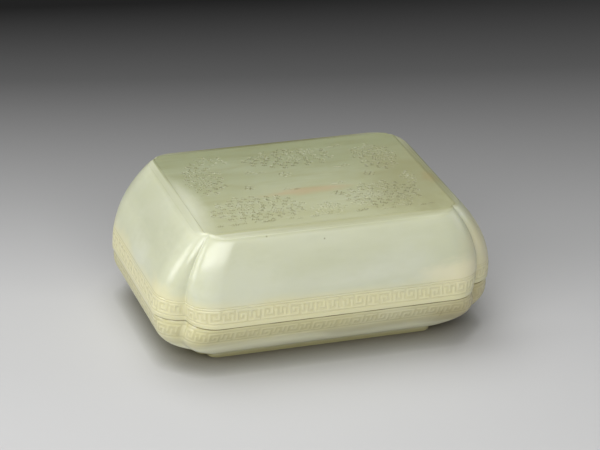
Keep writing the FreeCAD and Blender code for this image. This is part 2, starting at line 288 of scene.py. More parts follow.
# %% Places and cells of the columns
def upright_places(levels, hold):
    """Places that keep the columns upright where the lobes grow smaller, one row for each level.

    A column keeps its share of the run from the valley to the middle of its side, instead of its
    share of one stretch. Hold says how far each level does so.
    """
    rows = []
    for row, share in zip(levels, hold):
        parts = stretch_lengths(row[None, :])
        run = np.concatenate([[0.0], np.cumsum(parts)])
        middle = run[2] + parts[2] / 2
        at = np.where(column_at < valley_at, column_at * middle / valley_at,
                      run[-1] - (ends[-1] - column_at) * (run[-1] - middle) / (ends[-1] - valley_at))
        part = np.clip(np.searchsorted(run, at, side="right") - 1, 0, 4)
        rows.append(share * (part + (at - run[part]) / parts[part]) + (1 - share) * column_place)
    return np.array(rows)


def column_cells(positions):
    """The fret column at each position: whether each of the rows stands proud there."""
    on_end = np.searchsorted(end_edges, positions, side="right") - 1
    on_side = np.searchsorted(side_edges, positions, side="right") - 1
    strip = (positions > strip_edges[0]) & (positions < strip_edges[1])
    wide = fret_pair.shape[1]
    end_part = positions < fret_stop
    side_part = positions > fret_start
    cell = np.where(end_part, on_end, np.minimum(on_side, SIDE_UNITS * UNIT_CELLS - 1)) % wide
    return np.where(end_part | side_part, fret_pair[:, cell], strip)


proud_cells = column_cells(column_at)
print("cells that stand proud: %.0f %%" % (100 * proud_cells.mean()))

# %% [markdown]
# ## Meshes from rings
#
# The outside needs fine columns for the fret, the inside doesn't. A body is therefore a chain of
# rings, some fine and some coarse, and the change from one to the other is made on a flat face,
# where a face with many corners can't be seen. Going along the chain, the surface passes from the
# hollow over the rim to the outside, so all faces point out of the stone.

# %% Coarse columns
COARSE_STEPS = (4, 9, 5, 9, 7)      # in each of the five stretches
wanted = np.concatenate([np.linspace(k, k + 1, steps + 1) for k, steps in enumerate(COARSE_STEPS)])
coarse_columns = np.unique(np.abs(column_place[:, None] - wanted).argmin(axis=0))
FINE_COLUMNS = 4 * (len(column_place) - 1)
half_round = np.concatenate([coarse_columns, FINE_COLUMNS // 2 - coarse_columns])
coarse_ring = np.unique(np.concatenate([half_round, half_round + FINE_COLUMNS // 2]) % FINE_COLUMNS)
print("fine ring %d columns, coarse ring %d" % (FINE_COLUMNS, len(coarse_ring)))

# %% Shell
class Shell:
    """Collects points, faces and one value for each point, and makes a mesh of them."""

    def __init__(self):
        self.points, self.values, self.faces, self.count = [], [], [], 0

    def add_rings(self, grid, values=None):
        """Adds a grid of closed rings with quads between them. Returns the point numbers."""
        rows, columns = grid.shape[:2]
        number = self.count + np.arange(rows * columns).reshape(rows, columns)
        self.points.append(grid.reshape(-1, 3))
        self.values.append(np.zeros(rows * columns) if values is None else values.ravel())
        self.count += rows * columns
        here, there = number[:-1], number[1:]
        quads = np.dstack([here, np.roll(here, -1, 1), np.roll(there, -1, 1), there])
        self.faces += quads.reshape(-1, 4).tolist()
        return number

    def stitch(self, first, second, fine_first):
        """Many-cornered faces between a fine ring and a coarse ring on the same flat face."""
        fine, coarse = (first, second) if fine_first else (second, first)
        steps = np.append(coarse_ring, len(fine))
        for k, (start, stop) in enumerate(zip(steps[:-1], steps[1:])):
            run = [int(fine[i % len(fine)]) for i in range(start, stop + 1)]
            pair = [int(coarse[k]), int(coarse[(k + 1) % len(coarse)])]
            self.faces.append(run + pair[::-1] if fine_first else pair + run[::-1])

    def close(self, ring, centre, reverse):
        """A fan from a ring to a point in its middle."""
        self.points.append(np.array([centre]))
        self.values.append(np.zeros(1))
        following = np.roll(ring, -1)
        middle = np.full(len(ring), self.count)
        self.count += 1
        fan = [ring, following, middle] if reverse else [following, ring, middle]
        self.faces += np.column_stack(fan).tolist()

    def bridge(self, ring):
        """Faces across a narrow ring, between the points that face each other over its long axis."""
        n = len(ring)
        for i in range(n // 2):
            facing = dict.fromkeys((i, i + 1, n - i - 1, (n - i) % n))
            self.faces.append([int(ring[k]) for k in facing])

    def make(self, name, attribute, flat_from=None, sharp=math.radians(32)):
        """The object, smooth except where faces meet at a sharp angle and from one face number on."""
        mesh = bpy.data.meshes.new(name)
        mesh.from_pydata((np.vstack(self.points) * MM).tolist(), [], self.faces)
        layer = mesh.attributes.new(attribute, "FLOAT", "POINT")
        layer.data.foreach_set("value", np.concatenate(self.values).astype(np.float32))
        mesh.shade_smooth()
        mesh.set_sharp_from_angle(angle=sharp)
        if flat_from is not None:
            mesh.polygons.foreach_set("use_smooth", np.arange(len(self.faces)) < flat_from)
        mesh.validate()
        thing = bpy.data.objects.new(name, mesh)
        bpy.context.collection.objects.link(thing)
        print("%s: %d points, %d faces" % (name, len(mesh.vertices), len(mesh.polygons)))
        return thing


print("a coarse ring closes with a fan of %d faces" % len(coarse_ring))

# %% [markdown]
# ## Sunk ground
#
# The fret stands proud because the carver lowers the ground round it. The mesh does the same: every
# row of the band is marked, column by column, as proud or sunk, and sunk points move into the stone
# against the surface's normal. A displacement map would give the same look only in the render; this
# relief is real, so it also catches the light at the band's edge.

# %% Band rows
def sink(grid, depth):
    """Moves the points of a grid of rings into the stone, against the surface's normal."""
    across = np.roll(grid, -1, 1) - np.roll(grid, 1, 1)
    upward = np.gradient(grid, axis=0)
    normal = np.cross(across, upward)
    normal /= np.linalg.norm(normal, axis=2, keepdims=True)
    return grid - normal * depth[:, :, None]


FRET_DEPTH, BOX_FRET_DEPTH = 0.15, 0.10
LIP_ROUND, BOX_LIP_ROUND = 0.16, 0.34       # radii of the rounded lips above and below the seam
COVER_BAND = [(1.6, "proud"), (0.5, "sunk"), (5.2, "fret"), (0.45, "sunk"), (0.5, "proud"),
              (0.4, "sunk")]
BOX_BAND = [(0.4, "sunk"), (1.0, "proud"), (0.5, "sunk"), (5.2, "fret"), (0.45, "sunk")]


def band_rows(bands, start, direction):
    """Heights of the band's rows and, for each, which columns stand proud."""
    edges, kinds = [start], []
    for height, kind in bands:
        steps = FRET_ROWS if kind == "fret" else 1
        edges += [edges[-1] + direction * height * (k + 1) / steps for k in range(steps)]
        kinds += list(range(FRET_ROWS)) if kind == "fret" else [kind] * steps
    rows, proud = [], []
    for k, kind in enumerate(kinds):
        rows += [edges[k] + direction * WALL, edges[k + 1] - direction * WALL]
        line = proud_cells[kind] if isinstance(kind, int) else np.full(len(column_at), kind == "proud")
        proud += [line, line]
    rows += [edges[-1] + direction * WALL]
    proud += [np.ones(len(column_at), bool)]
    return np.array(rows), np.array(proud)


cover_band_z, cover_proud = band_rows(COVER_BAND, SEAM + LIP_ROUND, 1)
box_band_z, box_proud = band_rows(BOX_BAND, SEAM - BOX_LIP_ROUND, -1)
box_band_z, box_proud = box_band_z[::-1], box_proud[::-1]
print("cover band to %.1f mm, box band to %.1f mm" % (cover_band_z[-1], box_band_z[0]))

# %% [markdown]
# ## The cover
#
# The cover is one block, hollowed from below. Its outside could be cut from the CAD body, but the
# fret needs columns of its own, so the whole closed skin is made anew as one chain of levels:
# ceiling, inner wall and socket first, then over the flat rim face, up the flank, round the
# shoulder and over the bevel to the panel. The inside only has to be smooth, so it uses the few
# coarse columns.

# %% Inside of the cover
WALL_THICKNESS, SOCKET_TOP, CEILING = 3.8, SEAM + 4.0, TOP - 5.0
CEILING_HALF, CEILING_LOBE = tuple(v - 2.0 for v in CREASE_HALF), 5.5
SHORT_HOLLOW, SHORT_WELL, SHORT_MOUTH = 18, 14, 13      # the insides' valleys are softer
LIP_ROWS = 4


def lip(level_at, edge, direction, radius):
    """Levels that round the lip, a quarter circle from the flat rim face at the seam to the side."""
    angle = np.linspace(0, math.pi / 2, LIP_ROWS + 1)[:-1]
    levels = level_at(np.full(len(angle), edge))
    levels[:, :2] -= (radius * (1 - np.sin(angle)))[:, None]
    levels[:, 5] = edge + direction * radius * (1 - np.cos(angle))
    return levels


def cover_hollow():
    """Levels of the cover's inside, from the ceiling down to the rim face.

    The wall comes in with the same power of the height as the flank outside.
    """
    t = np.linspace(1, 0, 9)
    start, end = np.array(RIM_HALF) - WALL_THICKNESS, np.array(CEILING_HALF)
    wall = start + (end - start) * (t ** FLANK_POWER)[:, None]
    lobe = RIM_LOBE + (CEILING_LOBE - RIM_LOBE) * t
    z = SOCKET_TOP + (CEILING - SOCKET_TOP) * t
    hollow = np.column_stack([wall, lobe, 1 + 0 * t, np.full(len(t), SHORT_HOLLOW), z])
    ceiling = along(level(end * 0.45, 3.0, SHORT_HOLLOW, CEILING),
                    level(end - 0.6, CEILING_LOBE, SHORT_HOLLOW, CEILING), [0, 0.6, 1])
    socket = along(hollow[-1], level(start, RIM_LOBE, SHORT_WELL, SEAM), [0.04, 0.5, 0.93])
    mouth = np.array([level(start + 0.25, RIM_LOBE, SHORT_MOUTH, SEAM)])
    return np.vstack([ceiling, hollow, socket, mouth])


cover_shell = Shell()
inside = cover_shell.add_rings(rings(cover_hollow(), column_place[coarse_columns]))
cover_shell.close(inside[0], (0, 0, CEILING), reverse=False)
print("rings inside the cover:", len(inside))

# %% Outside of the cover
SHORT_PANEL = 8
crease = flank_levels(CREASE_Z)[0]
panel_edge = np.array(level(PANEL_HALF, PANEL_LOBE, SHORT_PANEL, TOP))
flank_z = np.linspace(cover_band_z[-1] + 0.35, SEAM + 0.955 * (CREASE_Z - SEAM), 15)
PANEL_LINE = ((-0.05, 0.04), (0.0, 0.12), (0.06, 0.12), (0.15, 0.01), (0.4, 0), (0.9, 0))  # inset, depth
CREASE_LINE = ((0.0, 0.0), (0.04, 0.05), (0.07, 0.05), (0.12, 0.0))     # share of the bevel, depth
# the crease line's value is painted shade in the crease; the panel line's is dirt in its groove
CREASE_SHADE, PANEL_STAIN = 0.15, 0.5


def cover_outside():
    """Levels of the cover from the rim face up the flank, over the bevel and on to the panel.

    Also gives how much of each level lies in a darkened line: the fine line that sets off the bevel
    from the flank, darkened with painted shade, and the one round the panel, stained with dirt.
    """
    flank = flank_levels(np.concatenate([cover_band_z, flank_z]))
    round_in = along(crease, panel_edge, 0.2)[0]
    shoulder = rounded(flank[-1], crease, round_in, 8)[1:]
    shares, depths = np.array(CREASE_LINE).T
    line = along(round_in, panel_edge, 0.03 + shares)
    line[:, 5] -= depths
    bevel = along(round_in, panel_edge, [0.3, 0.6, 0.9, 0.95])
    panel_depths = np.array(PANEL_LINE)[:, 1]
    rim = np.array([level(np.array(PANEL_HALF) - inset, PANEL_LOBE, SHORT_PANEL, TOP - deep)
                    for inset, deep in PANEL_LINE])
    parts = [lip(flank_levels, SEAM, 1, LIP_ROUND), flank, shoulder, line, bevel, rim]
    stain_and_shade = [np.zeros(len(part)) for part in parts]
    stain_and_shade[3] = CREASE_SHADE * depths / depths.max()
    stain_and_shade[5] = PANEL_STAIN * panel_depths / panel_depths.max()
    return np.vstack(parts), np.concatenate(stain_and_shade)


outside_levels, line_stain_and_shade = cover_outside()
nominal = rings(outside_levels, column_place)
sunk = np.zeros(nominal.shape[:2])
sunk[LIP_ROWS:LIP_ROWS + len(cover_proud)] = 1 - mirrored(cover_proud.astype(float))
outside = cover_shell.add_rings(sink(nominal, FRET_DEPTH * sunk), np.maximum(sunk, line_stain_and_shade[:, None]))
cover_shell.stitch(inside[-1], outside[0], fine_first=False)
print("rings outside the cover:", len(outside))

# %% [markdown]
# ## The incised panel
#
# The panel carries a hairline design, cut with a fine wheel: round blossoms, leafy bushes, curled
# clouds, butterflies and tufts of grass. It could be painted as a picture, but lines can be drawn
# at any fineness and turned into real cuts. Every motif is therefore a short function that gives
# its lines, from arcs, spirals and Bezier curves, with points at even steps.

# %% Curves for the design
STEP = 0.8              # spacing of points along a hairline


def heading(angle):
    """The unit vector at an angle in degrees."""
    return np.array([math.cos(math.radians(angle)), math.sin(math.radians(angle))])


def spaced(line, step=STEP):
    """The same line with points at even steps of the length walked along it."""
    run = np.concatenate([[0], np.cumsum(np.linalg.norm(np.diff(line, axis=0), axis=1))])
    wanted_run = np.linspace(0, run[-1], max(3, int(round(run[-1] / step)) + 1))
    return np.column_stack([np.interp(wanted_run, run, line[:, k]) for k in (0, 1)])


def curve(*control):
    """A Bezier curve: the control points, weighted by the binomial terms of s and 1 - s."""
    points = np.array(control, float)
    s = np.linspace(0, 1, 40)[:, None]
    order = len(points) - 1
    return spaced(sum(math.comb(order, k) * (1 - s) ** (order - k) * s ** k * point
                      for k, point in enumerate(points)))


def polar(centre, radius, start, stop, step=0.5):
    """An arc: the centre, plus the radius times the cosine and the sine of the angle.

    Where the radius is a list, it changes along the arc, which makes a spiral or a bowed petal.
    """
    s = np.linspace(0, 1, 60)
    angle = np.radians(start + (stop - start) * s)
    reach = np.interp(s, np.linspace(0, 1, len(radius)), radius) if np.ndim(radius) else radius
    x = centre[0] + reach * np.cos(angle)
    y = centre[1] + reach * np.sin(angle)
    return spaced(np.column_stack([x, y]), step)


print("points on a round of 3 mm:", len(polar((0, 0), 3.0, 0, 360)))

# %% Leaves and blossoms
GOLDEN_ANGLE = 137.5    # the turn from seed to seed in a sunflower, in degrees


def leaf(root, angle, length):
    """A pointed leaf: two bowed edges from its root to its tip."""
    middle = root + 0.4 * length * heading(angle)
    bow = 0.34 * length * heading(angle + 90)
    return [curve(root, middle + sign * bow, root + length * heading(angle)) for sign in (-1, 1)]


def bloom(centre, radius, petals, turn):
    """A round bloom: bowed petals in two rings round a small seed ring."""
    lines = [polar(centre, 0.2 * radius, turn, turn + 350, step=0.35)]
    bowed = np.array([0.55, 0.92, 1.0, 0.92, 0.55])
    for ring_radius, count, shift in ((0.58 * radius, petals - 2, 0.0), (radius, petals, 0.5)):
        for k in range(count):
            low, high = (turn + 360 * (k + shift + e) / count for e in (0.06, 0.94))
            lines.append(polar(centre, ring_radius * bowed, low, high))
    return lines


def foliage(centre, reach, root, count, leaf_size, turn):
    """A leafy bush: sprigs in a sunflower pattern, each bowing away from the bush's root.

    From sprig to sprig the angle grows by the golden angle, and the distance from the centre with
    the square root of the sprig's number. Each sprig has a stalk and three leaves.
    """
    centre, reach, root = np.array(centre), np.array(reach), np.array(root)
    lines = []
    for k in range(count):
        way = heading(GOLDEN_ANGLE * k + turn) * math.sqrt((k + 0.5) / count)
        at = centre + reach * way
        away = at - root
        lean = math.degrees(math.atan2(away[1], away[0])) + 22 * math.sin(2.4 * k)
        low = at - 1.3 * leaf_size * heading(lean)
        lines.append(curve(low, at - 0.5 * leaf_size * heading(lean + 20), at))
        for side in (-1, 0, 1):
            lines += leaf(at, lean + 52 * side, leaf_size * (1.0 if side else 1.2))
    boughs = [curve(root, (root + centre) / 2 + 3 * heading(60 * k),
                    centre + reach * 0.7 * heading(turn + 120 * k)) for k in range(3)]
    return lines + boughs


def tuft(root, blades, size):
    """A grass tuft: blades that fan out from one root and bow over, most at the sides."""
    x, y = root
    return [curve((x + 0.8 * lean, y), (x + lean * size * 0.35, y + size * 0.75),
                  (x + lean * size * 0.9, y + size * (1 - 0.45 * lean * lean)))
            for lean in np.linspace(-1, 1, blades)]


print("lines in a blossom of 9 petals:", len(bloom((0, 0), 3.0, 9, 0)))

# %% Clouds and butterflies
def cloud(centre, size, facing):
    """A cloud scroll: two curls, a round head over them and a trailing double tail."""
    x, y = centre

    def point(ahead, above):
        return (x + facing * ahead * size, y + above * size)

    opening = np.linspace(0.08, 0.5, 5) * size
    curls = [polar(point(sign * 0.55, 0), opening, 90 + sign * facing * 250, 90 - sign * facing * 130)
             for sign in (-1, 1)]
    head = [polar(point(0, 0.55), 0.42 * size, -20, 200)]
    tail = [curve(point(0.9, -0.3), point(1.9, -0.75), point(2.6, 0.25), point(3.8, -0.15)),
            curve(point(1.1, 0.05), point(1.9, -0.35), point(2.4, 0.5), point(3.1, 0.2))]
    return curls + head + tail


def butterfly(centre, size, angle):
    """A butterfly seen from above: four wings, two feelers and a body."""
    wings = [polar((0.42 * sx, 0.42 * sy), 0.5 if sy > 0 else 0.36, 0, 335, step=0.4 / size)
             for sx in (-1, 1) for sy in (-1, 1)]
    feelers = [np.array([[0, 0.45], [0.16 * sx, 0.75], [0.4 * sx, 0.95]]) for sx in (-1, 1)]
    body = [np.array([[0, -0.5], [0, 0], [0, 0.4]])]
    turned = np.array([heading(angle), heading(angle + 90)])
    return [np.array(centre) + size * part @ turned for part in wings + feelers + body]


print("lines in a cloud and a butterfly:", len(cloud((0, 0), 2, 1)), len(butterfly((0, 0), 2, 0)))

# %% [markdown]
# ## Laying out the design
#
# The engraver keeps clear of the panel's edge and lets no line run through a blossom. Here the
# motifs are set out one by one, each by its centre and size, then every line that leaves the margin
# or crosses a blossom is dropped. Setting out one by one gives denser and emptier places, as the work
# of an engraver does, which a random scatter would not.

# %% The design
MARGIN = (46.8, 33.2)           # the design stays inside this rectangle
# blossoms: centre, radius, petals, turn
BLOOMS = (((-30, -17), 3.2, 9, 10), ((-18, -23), 2.6, 8, 40), ((24, -18), 3.3, 9, 0),
          ((35, -24), 2.6, 8, 25), ((4, 22), 3.0, 9, 15), ((-8, 26), 2.4, 7, 50),
          ((-38, 8), 3.0, 8, 5), ((-42, 16), 2.2, 7, 20), ((38, 14), 3.0, 8, 45),
          ((31, 21), 2.3, 7, 10), ((4, -24), 2.4, 7, 35), ((12, 27), 2.2, 7, 5))
# bushes: centre, reach, root, sprigs, length of a leaf, turn
BUSHES = (((-25, -20), (19, 11), (-30, -34), 62, 2.0, 0), ((27, -19), (16, 11), (22, -34), 52, 2.0, 40),
          ((-38, 10), (8, 14), (-48, -4), 32, 1.9, 80), ((2, 23), (19, 8.5), (8, 36), 46, 1.9, 20),
          ((37, 16), (9, 12), (48, 4), 34, 1.9, 60), ((2, -26), (7, 5), (2, -34), 14, 1.6, 10),
          ((-31, 27), (8, 4), (-38, 34), 12, 1.5, 30), ((43, -7), (3, 6), (48, -12), 9, 1.5, 50))
# clouds: centre, size, facing; butterflies: centre, size, turn
CLOUDS = (((-18, 12), 1.8, 1), ((22, 10), 1.7, -1), ((-8, -6), 1.6, 1), ((25, 29), 1.5, -1),
          ((15, -5), 1.4, -1))
BUTTERFLIES = (((-4, 8), 2.6, 25), ((-22, -1), 2.3, -30), ((29, 1), 2.3, 60), ((10, -13), 2.2, 140))
flowers = [line for sizes in BLOOMS for line in bloom(*sizes)]
leafage = [line for sizes in BUSHES for line in foliage(*sizes)]
for k, x in enumerate(np.linspace(-44, 44, 17)):
    root = (x + 1.5 * math.sin(2.7 * k), -32.4 + 0.5 * math.sin(4.1 * k))
    leafage += tuft(root, 4, 2.6 + 0.8 * math.sin(1.9 * k))
others = [line for sizes in CLOUDS for line in cloud(*sizes)]
others += [line for sizes in BUTTERFLIES for line in butterfly(*sizes)]


def clear_of_blooms(line):
    """Whether all points of a line lie farther from each blossom's centre than its radius."""
    gap = 0.1
    return all(np.linalg.norm(line - np.array(centre), axis=1).min() > radius + gap
               for centre, radius, petals, turn in BLOOMS)


hairlines = [line for line in flowers + [line for line in leafage + others if clear_of_blooms(line)]
             if (np.abs(line) < MARGIN).all()]
print("hairlines:", len(hairlines), "points:", sum(len(line) for line in hairlines))

# %% [markdown]
# ## Cutting the lines
#
# The wheel leaves a V-shaped cut that swells from nothing and dies away again. A fine even mesh
# with a height for each point would need millions of faces for cuts this narrow. Instead the middle
# line and the two brinks of each cut go into a constrained triangulation of the panel, whose flat
# ground between the cuts stays in few faces. Where two cuts share a point, the deeper value holds,
# and a new point, where they cross, lies half way down.

# %% Grooves
GROOVE_HALF_WIDTH, GROOVE_DEPTH = 0.22, 0.09


def groove(line):
    """A V groove: its middle line, its two brinks, and its swell, a power of half a sine wave."""
    way = np.gradient(line, axis=0)
    side = np.column_stack([-way[:, 1], way[:, 0]])
    side /= np.maximum(np.linalg.norm(side, axis=1, keepdims=True), 1e-9)
    swell = np.sin(np.linspace(0, math.pi, len(line))) ** 0.45
    offset = side[1:-1] * GROOVE_HALF_WIDTH * swell[1:-1, None]
    swell[[0, -1]] = 0
    return line, line[1:-1] + offset, line[1:-1] - offset, swell


def chain(numbers):
    """The edges from each of some point numbers to the next."""
    return list(zip(numbers[:-1], numbers[1:]))


ring_xy = nominal[-1, :, :2]
ring_count = len(ring_xy)
flat_points = ring_xy.tolist()
flat_depth = [0.0] * ring_count
flat_edges = chain([*range(ring_count), 0])
for line in hairlines:
    middle, left, other, swell = groove(line)
    start, count, inner = len(flat_points), len(middle), len(left)
    flat_points += middle.tolist() + left.tolist() + other.tolist()
    flat_depth += (GROOVE_DEPTH * swell).tolist() + [0.0] * (2 * inner)
    flat_edges += chain(range(start, start + count))
    for first in (start + count, start + count + inner):
        flat_edges += [(start, first), (first + inner - 1, start + count - 1)]
        flat_edges += chain(range(first, first + inner))
print("grooves: %d points, %d edges" % (len(flat_points), len(flat_edges)))

# %% Triangles of the panel
INSIDE_TRIANGLES, NEAREST = 1, 1e-4     # what the triangulation gives, and when points fall together
flat = delaunay_2d_cdt([Vector(p) for p in flat_points], flat_edges, [], INSIDE_TRIANGLES, NEAREST)
flat_xy, flat_faces, flat_source = np.array([tuple(p) for p in flat[0]]), flat[2], flat[3]
depth_in = np.array(flat_depth)
depth_out = np.array([depth_in[s].max() if s else 0.5 * GROOVE_DEPTH for s in flat_source])
print("panel: %d points, %d triangles" % (len(flat_xy), len(flat_faces)))

# %% [markdown]
# ## One closed skin
#
# The panel and the flanks are one surface of the stone, so the triangles take over the ring at the
# panel's edge, point for point, instead of lying on it. After that the cover is a single closed
# mesh, as a carved block is. The panel's faces stay flat, which keeps the cuts crisp. The cover then
# rides on its body of the CAD model and stands in for that body's plain mesh.

# %% Join the panel to the cover
panel_points = np.column_stack([flat_xy, TOP - depth_out])
number_of = np.zeros(len(flat_xy), int)
free = []
for k, source in enumerate(flat_source):
    on_ring = [s for s in source if s < ring_count]
    if on_ring:
        number_of[k] = outside[-1][on_ring[0]]
    else:
        number_of[k] = cover_shell.count + len(free)
        free.append(k)
cover_shell.points.append(panel_points[free])
cover_shell.values.append(depth_out[free] / GROOVE_DEPTH)
cover_shell.count += len(free)
panel_from = len(cover_shell.faces)
cover_shell.faces += [[int(number_of[v]) for v in face] for face in flat_faces]
cover = cover_shell.make("jade_cover", "carved", flat_from=panel_from)
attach(cover, "cover")
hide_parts("cover")

# %% [markdown]
# ## The box
#
# The lower half is a second block: a foot ring to stand on, a bowl that swells up to the rim with
# its own fret band, a flange over which the cover slips, and a well. Again one chain of levels runs
# all the way, from the recess under the foot over the outside and the flange down to the well's
# floor. Where the chain turns a corner, a short parabola of levels takes the sharpness off, as
# rubbing with sand does on stone.

# %% Foot and outside of the box
FOOT_IN, RECESS = 5.0, 2.2
SHORT_FOOT, SHORT_RECESS = 9, 10
EASED, BROKEN = 0.8, 0.3        # how far a rounded and a lightly rubbed edge reach


def foot_inside():
    """Levels under the box: the recess, its wall and the flat ring that the box stands on."""
    inner = np.array(FOOT_HALF) - FOOT_IN

    def at(grown, z):
        return level(inner + grown, FOOT_LOBE, SHORT_RECESS, z)

    ceiling = along(level(inner * 0.4, 3.0, SHORT_RECESS, RECESS), at(-EASED, RECESS), [0, 0.6, 1])
    wall = rounded(ceiling[-1], at(0, RECESS), at(0, RECESS - EASED), 4)[1:]
    return np.vstack([ceiling, wall, [at(0, BROKEN), at(BROKEN, 0.0), at(EASED, 0.0)]])


def box_outside():
    """Levels of the box's outside: the foot ring, the rounded underside, the band and the lip."""
    def at(grown, z):
        return level(np.array(FOOT_HALF) + grown, FOOT_LOBE, SHORT_FOOT, z)

    ring = np.array([at(-EASED, 0.0), at(-BROKEN, 0.0)])
    edge = rounded(ring[-1], at(0, 0.0), at(0, BROKEN), 4)[1:]
    upright = np.array([at(0, 1.4), at(0, FOOT_HEIGHT - 0.5)])
    bowl_z = SEAM - (SEAM - FOOT_HEIGHT) * np.linspace(0.975, 0, 15) ** 0.75
    bowl = bowl_levels(bowl_z[bowl_z < box_band_z[0] - 0.3])
    root = rounded(upright[-1], at(0.05, FOOT_HEIGHT), bowl[0], 5)[1:-1]
    top = lip(bowl_levels, SEAM, -1, BOX_LIP_ROUND)[::-1]
    return np.vstack([ring, edge, upright, root, bowl, bowl_levels(box_band_z), top])


box_shell = Shell()
under = box_shell.add_rings(rings(foot_inside(), column_place[coarse_columns]))
box_shell.close(under[0], (0, 0, RECESS), reverse=False)
box_levels = box_outside()
hold = np.clip((box_levels[:, 5] - FOOT_HEIGHT) / (box_band_z[0] - 1 - FOOT_HEIGHT), 0, 1)
box_nominal = rings(box_levels, upright_places(box_levels, hold))
box_sunk = np.zeros(box_nominal.shape[:2])
band_stop = len(box_levels) - LIP_ROWS
box_sunk[band_stop - len(box_proud):band_stop] = 1 - mirrored(box_proud.astype(float))
# the lip rows under the seam get full value, for dirt in the joint and painted shadow under the cover's
# lip
box_stain_and_shadow = box_sunk.copy()
box_stain_and_shadow[band_stop:] = 1.0
shell_outside = box_shell.add_rings(sink(box_nominal, BOX_FRET_DEPTH * box_sunk), box_stain_and_shadow)
box_shell.stitch(under[-1], shell_outside[0], fine_first=False)
print("rings outside the box:", len(shell_outside))

# %% Flange and well
FLANGE_OUT, FLANGE_IN, FLANGE_TOP, FLOOR = 4.1, 6.1, corners_mm("box")[1][2], 7.0
WELL_HALF, WELL_LOBE = (54.0, 32.0), 5.0
FLANGE_EDGE = 0.4


def box_inside():
    """Levels of the flange that the cover slips over, and of the well with its flat floor.

    The well turns in with the same powers of the depth as the bowl outside.
    """
    out, inner = np.array(RIM_HALF) - FLANGE_OUT, np.array(RIM_HALF) - FLANGE_IN

    def outer_at(grown, z):
        return level(out + grown, RIM_LOBE, SHORT_MOUTH, z)

    def inner_at(grown, z):
        return level(inner + grown, RIM_LOBE, SHORT_WELL, z)

    outer = along(outer_at(0, SEAM), outer_at(0, FLANGE_TOP), [0.06, 0.5, 0.86])
    crest = rounded(outer[-1], outer_at(0, FLANGE_TOP), outer_at(-FLANGE_EDGE, FLANGE_TOP), 4)[1:]
    turn_in = rounded(inner_at(FLANGE_EDGE, FLANGE_TOP), inner_at(0, FLANGE_TOP),
                      inner_at(0, FLANGE_TOP - FLANGE_EDGE), 4)
    t = np.linspace(0, 1, 12)
    end = np.array(WELL_HALF)
    bend = np.column_stack([t ** BOWL_END_POWER, t ** BOWL_SIDE_POWER])
    well = np.column_stack([inner + (end - inner) * bend, RIM_LOBE + (WELL_LOBE - RIM_LOBE) * t,
                            1 + 0 * t, np.full(len(t), SHORT_WELL), SEAM + (FLOOR - SEAM) * t])
    floor = along(level(end, WELL_LOBE, SHORT_WELL, FLOOR),
                  level(end * 0.45, 3.5, SHORT_WELL, FLOOR), [0.02, 0.4, 1])
    return np.vstack([[outer_at(0.2, SEAM)], outer, crest, turn_in, well, floor])


well = box_shell.add_rings(rings(box_inside(), column_place[coarse_columns]))
box_shell.stitch(shell_outside[-1], well[0], fine_first=True)
box_shell.close(well[-1], (0, 0, FLOOR), reverse=True)
box = box_shell.make("jade_box", "carved")
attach(box, "box")
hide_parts("box")

# %% [markdown]
# ## The ink stone
#
# An ink stone is a slab of fine dark slate with a raised frame, a flat face on which the stick is
# ground with water, and a pool at one end where the ink gathers. The slab is a chain of rounded
# rectangles: up its side, over the frame and across the face in shrinking loops. On the face the
# height is a function of the place, a gentle slope down to the pool times a short steep wall all
# round. The last narrow loop is bridged across, since a fan to one point would leave creases.

# %% Rounded rectangles
def rounded_rectangles(levels, corner_steps, side_steps):
    """Closed loops from (middle x, middle y, half length, half width, corner radius, z) for each.

    Each quarter is half a side, a quarter circle and half the other side; shares of the three
    parts are the same in all loops, so their points line up.
    """
    mx, my, a, b, r = (levels[:, k:k + 1] for k in range(5))
    s = np.linspace(0, 1, side_steps)[None, :]
    c = np.linspace(0, math.pi / 2, corner_steps)[None, 1:-1]
    x = np.hstack([a + 0 * s, a - r + r * np.cos(c), (a - r) * (1 - s)])
    y = np.hstack([(b - r) * s, b - r + r * np.sin(c), b + 0 * s])
    z = np.broadcast_to(levels[:, 5:6], (len(levels), 4 * (x.shape[1] - 1)))
    return np.dstack([mx + mirrored(x, -1, 1), my + mirrored(y, 1, -1), z])


LEAST_CORNER = 0.3


def slab_loops(low, high, corner, inset, z):
    """Levels of a slab whose outline is drawn in by each inset, one for each height."""
    middle, half = (low + high) / 2, (high - low) / 2
    inset, z = np.broadcast_arrays(np.atleast_1d(inset), z)
    return np.column_stack([np.full(len(inset), middle[0]), np.full(len(inset), middle[1]),
                            half[0] - inset, half[1] - inset, np.maximum(corner - inset, LEAST_CORNER), z])


def slab_side(low, high, corner, edge):
    """Levels of a slab's underside, side and top edge, both edges rounded by quarter circles."""
    middle, half = (low + high) / 2, (high - low) / 2
    turn = np.linspace(0, math.pi / 2, 5)
    near, far = edge * (1 - np.sin(turn)), edge * (1 - np.cos(turn))
    under = [middle[0], middle[1], 0.5 * half[0], 0.3 * half[1], LEAST_CORNER, low[2]]
    return np.vstack([under, slab_loops(low, high, corner, 1.5 * edge, low[2]),
                      slab_loops(low, high, corner, near, low[2] + far),
                      slab_loops(low, high, corner, far, high[2] - near)])


def slab(name, attribute, low, side, face, values):
    """The object of a slab, from the loops of its side, those of its face, and the face's values."""
    shell = Shell()
    marks = np.vstack([np.zeros(side.shape[:2]), values])
    points = shell.add_rings(np.vstack([side, face]), marks)
    shell.close(points[0], (*side[0, :, :2].mean(axis=0), low[2]), reverse=False)
    shell.bridge(points[-1])
    return shell.make(name, attribute)


stone_low, stone_high = corners_mm("ink_stone")
print("ink stone %.0f by %.0f by %.0f mm" % tuple(stone_high - stone_low))

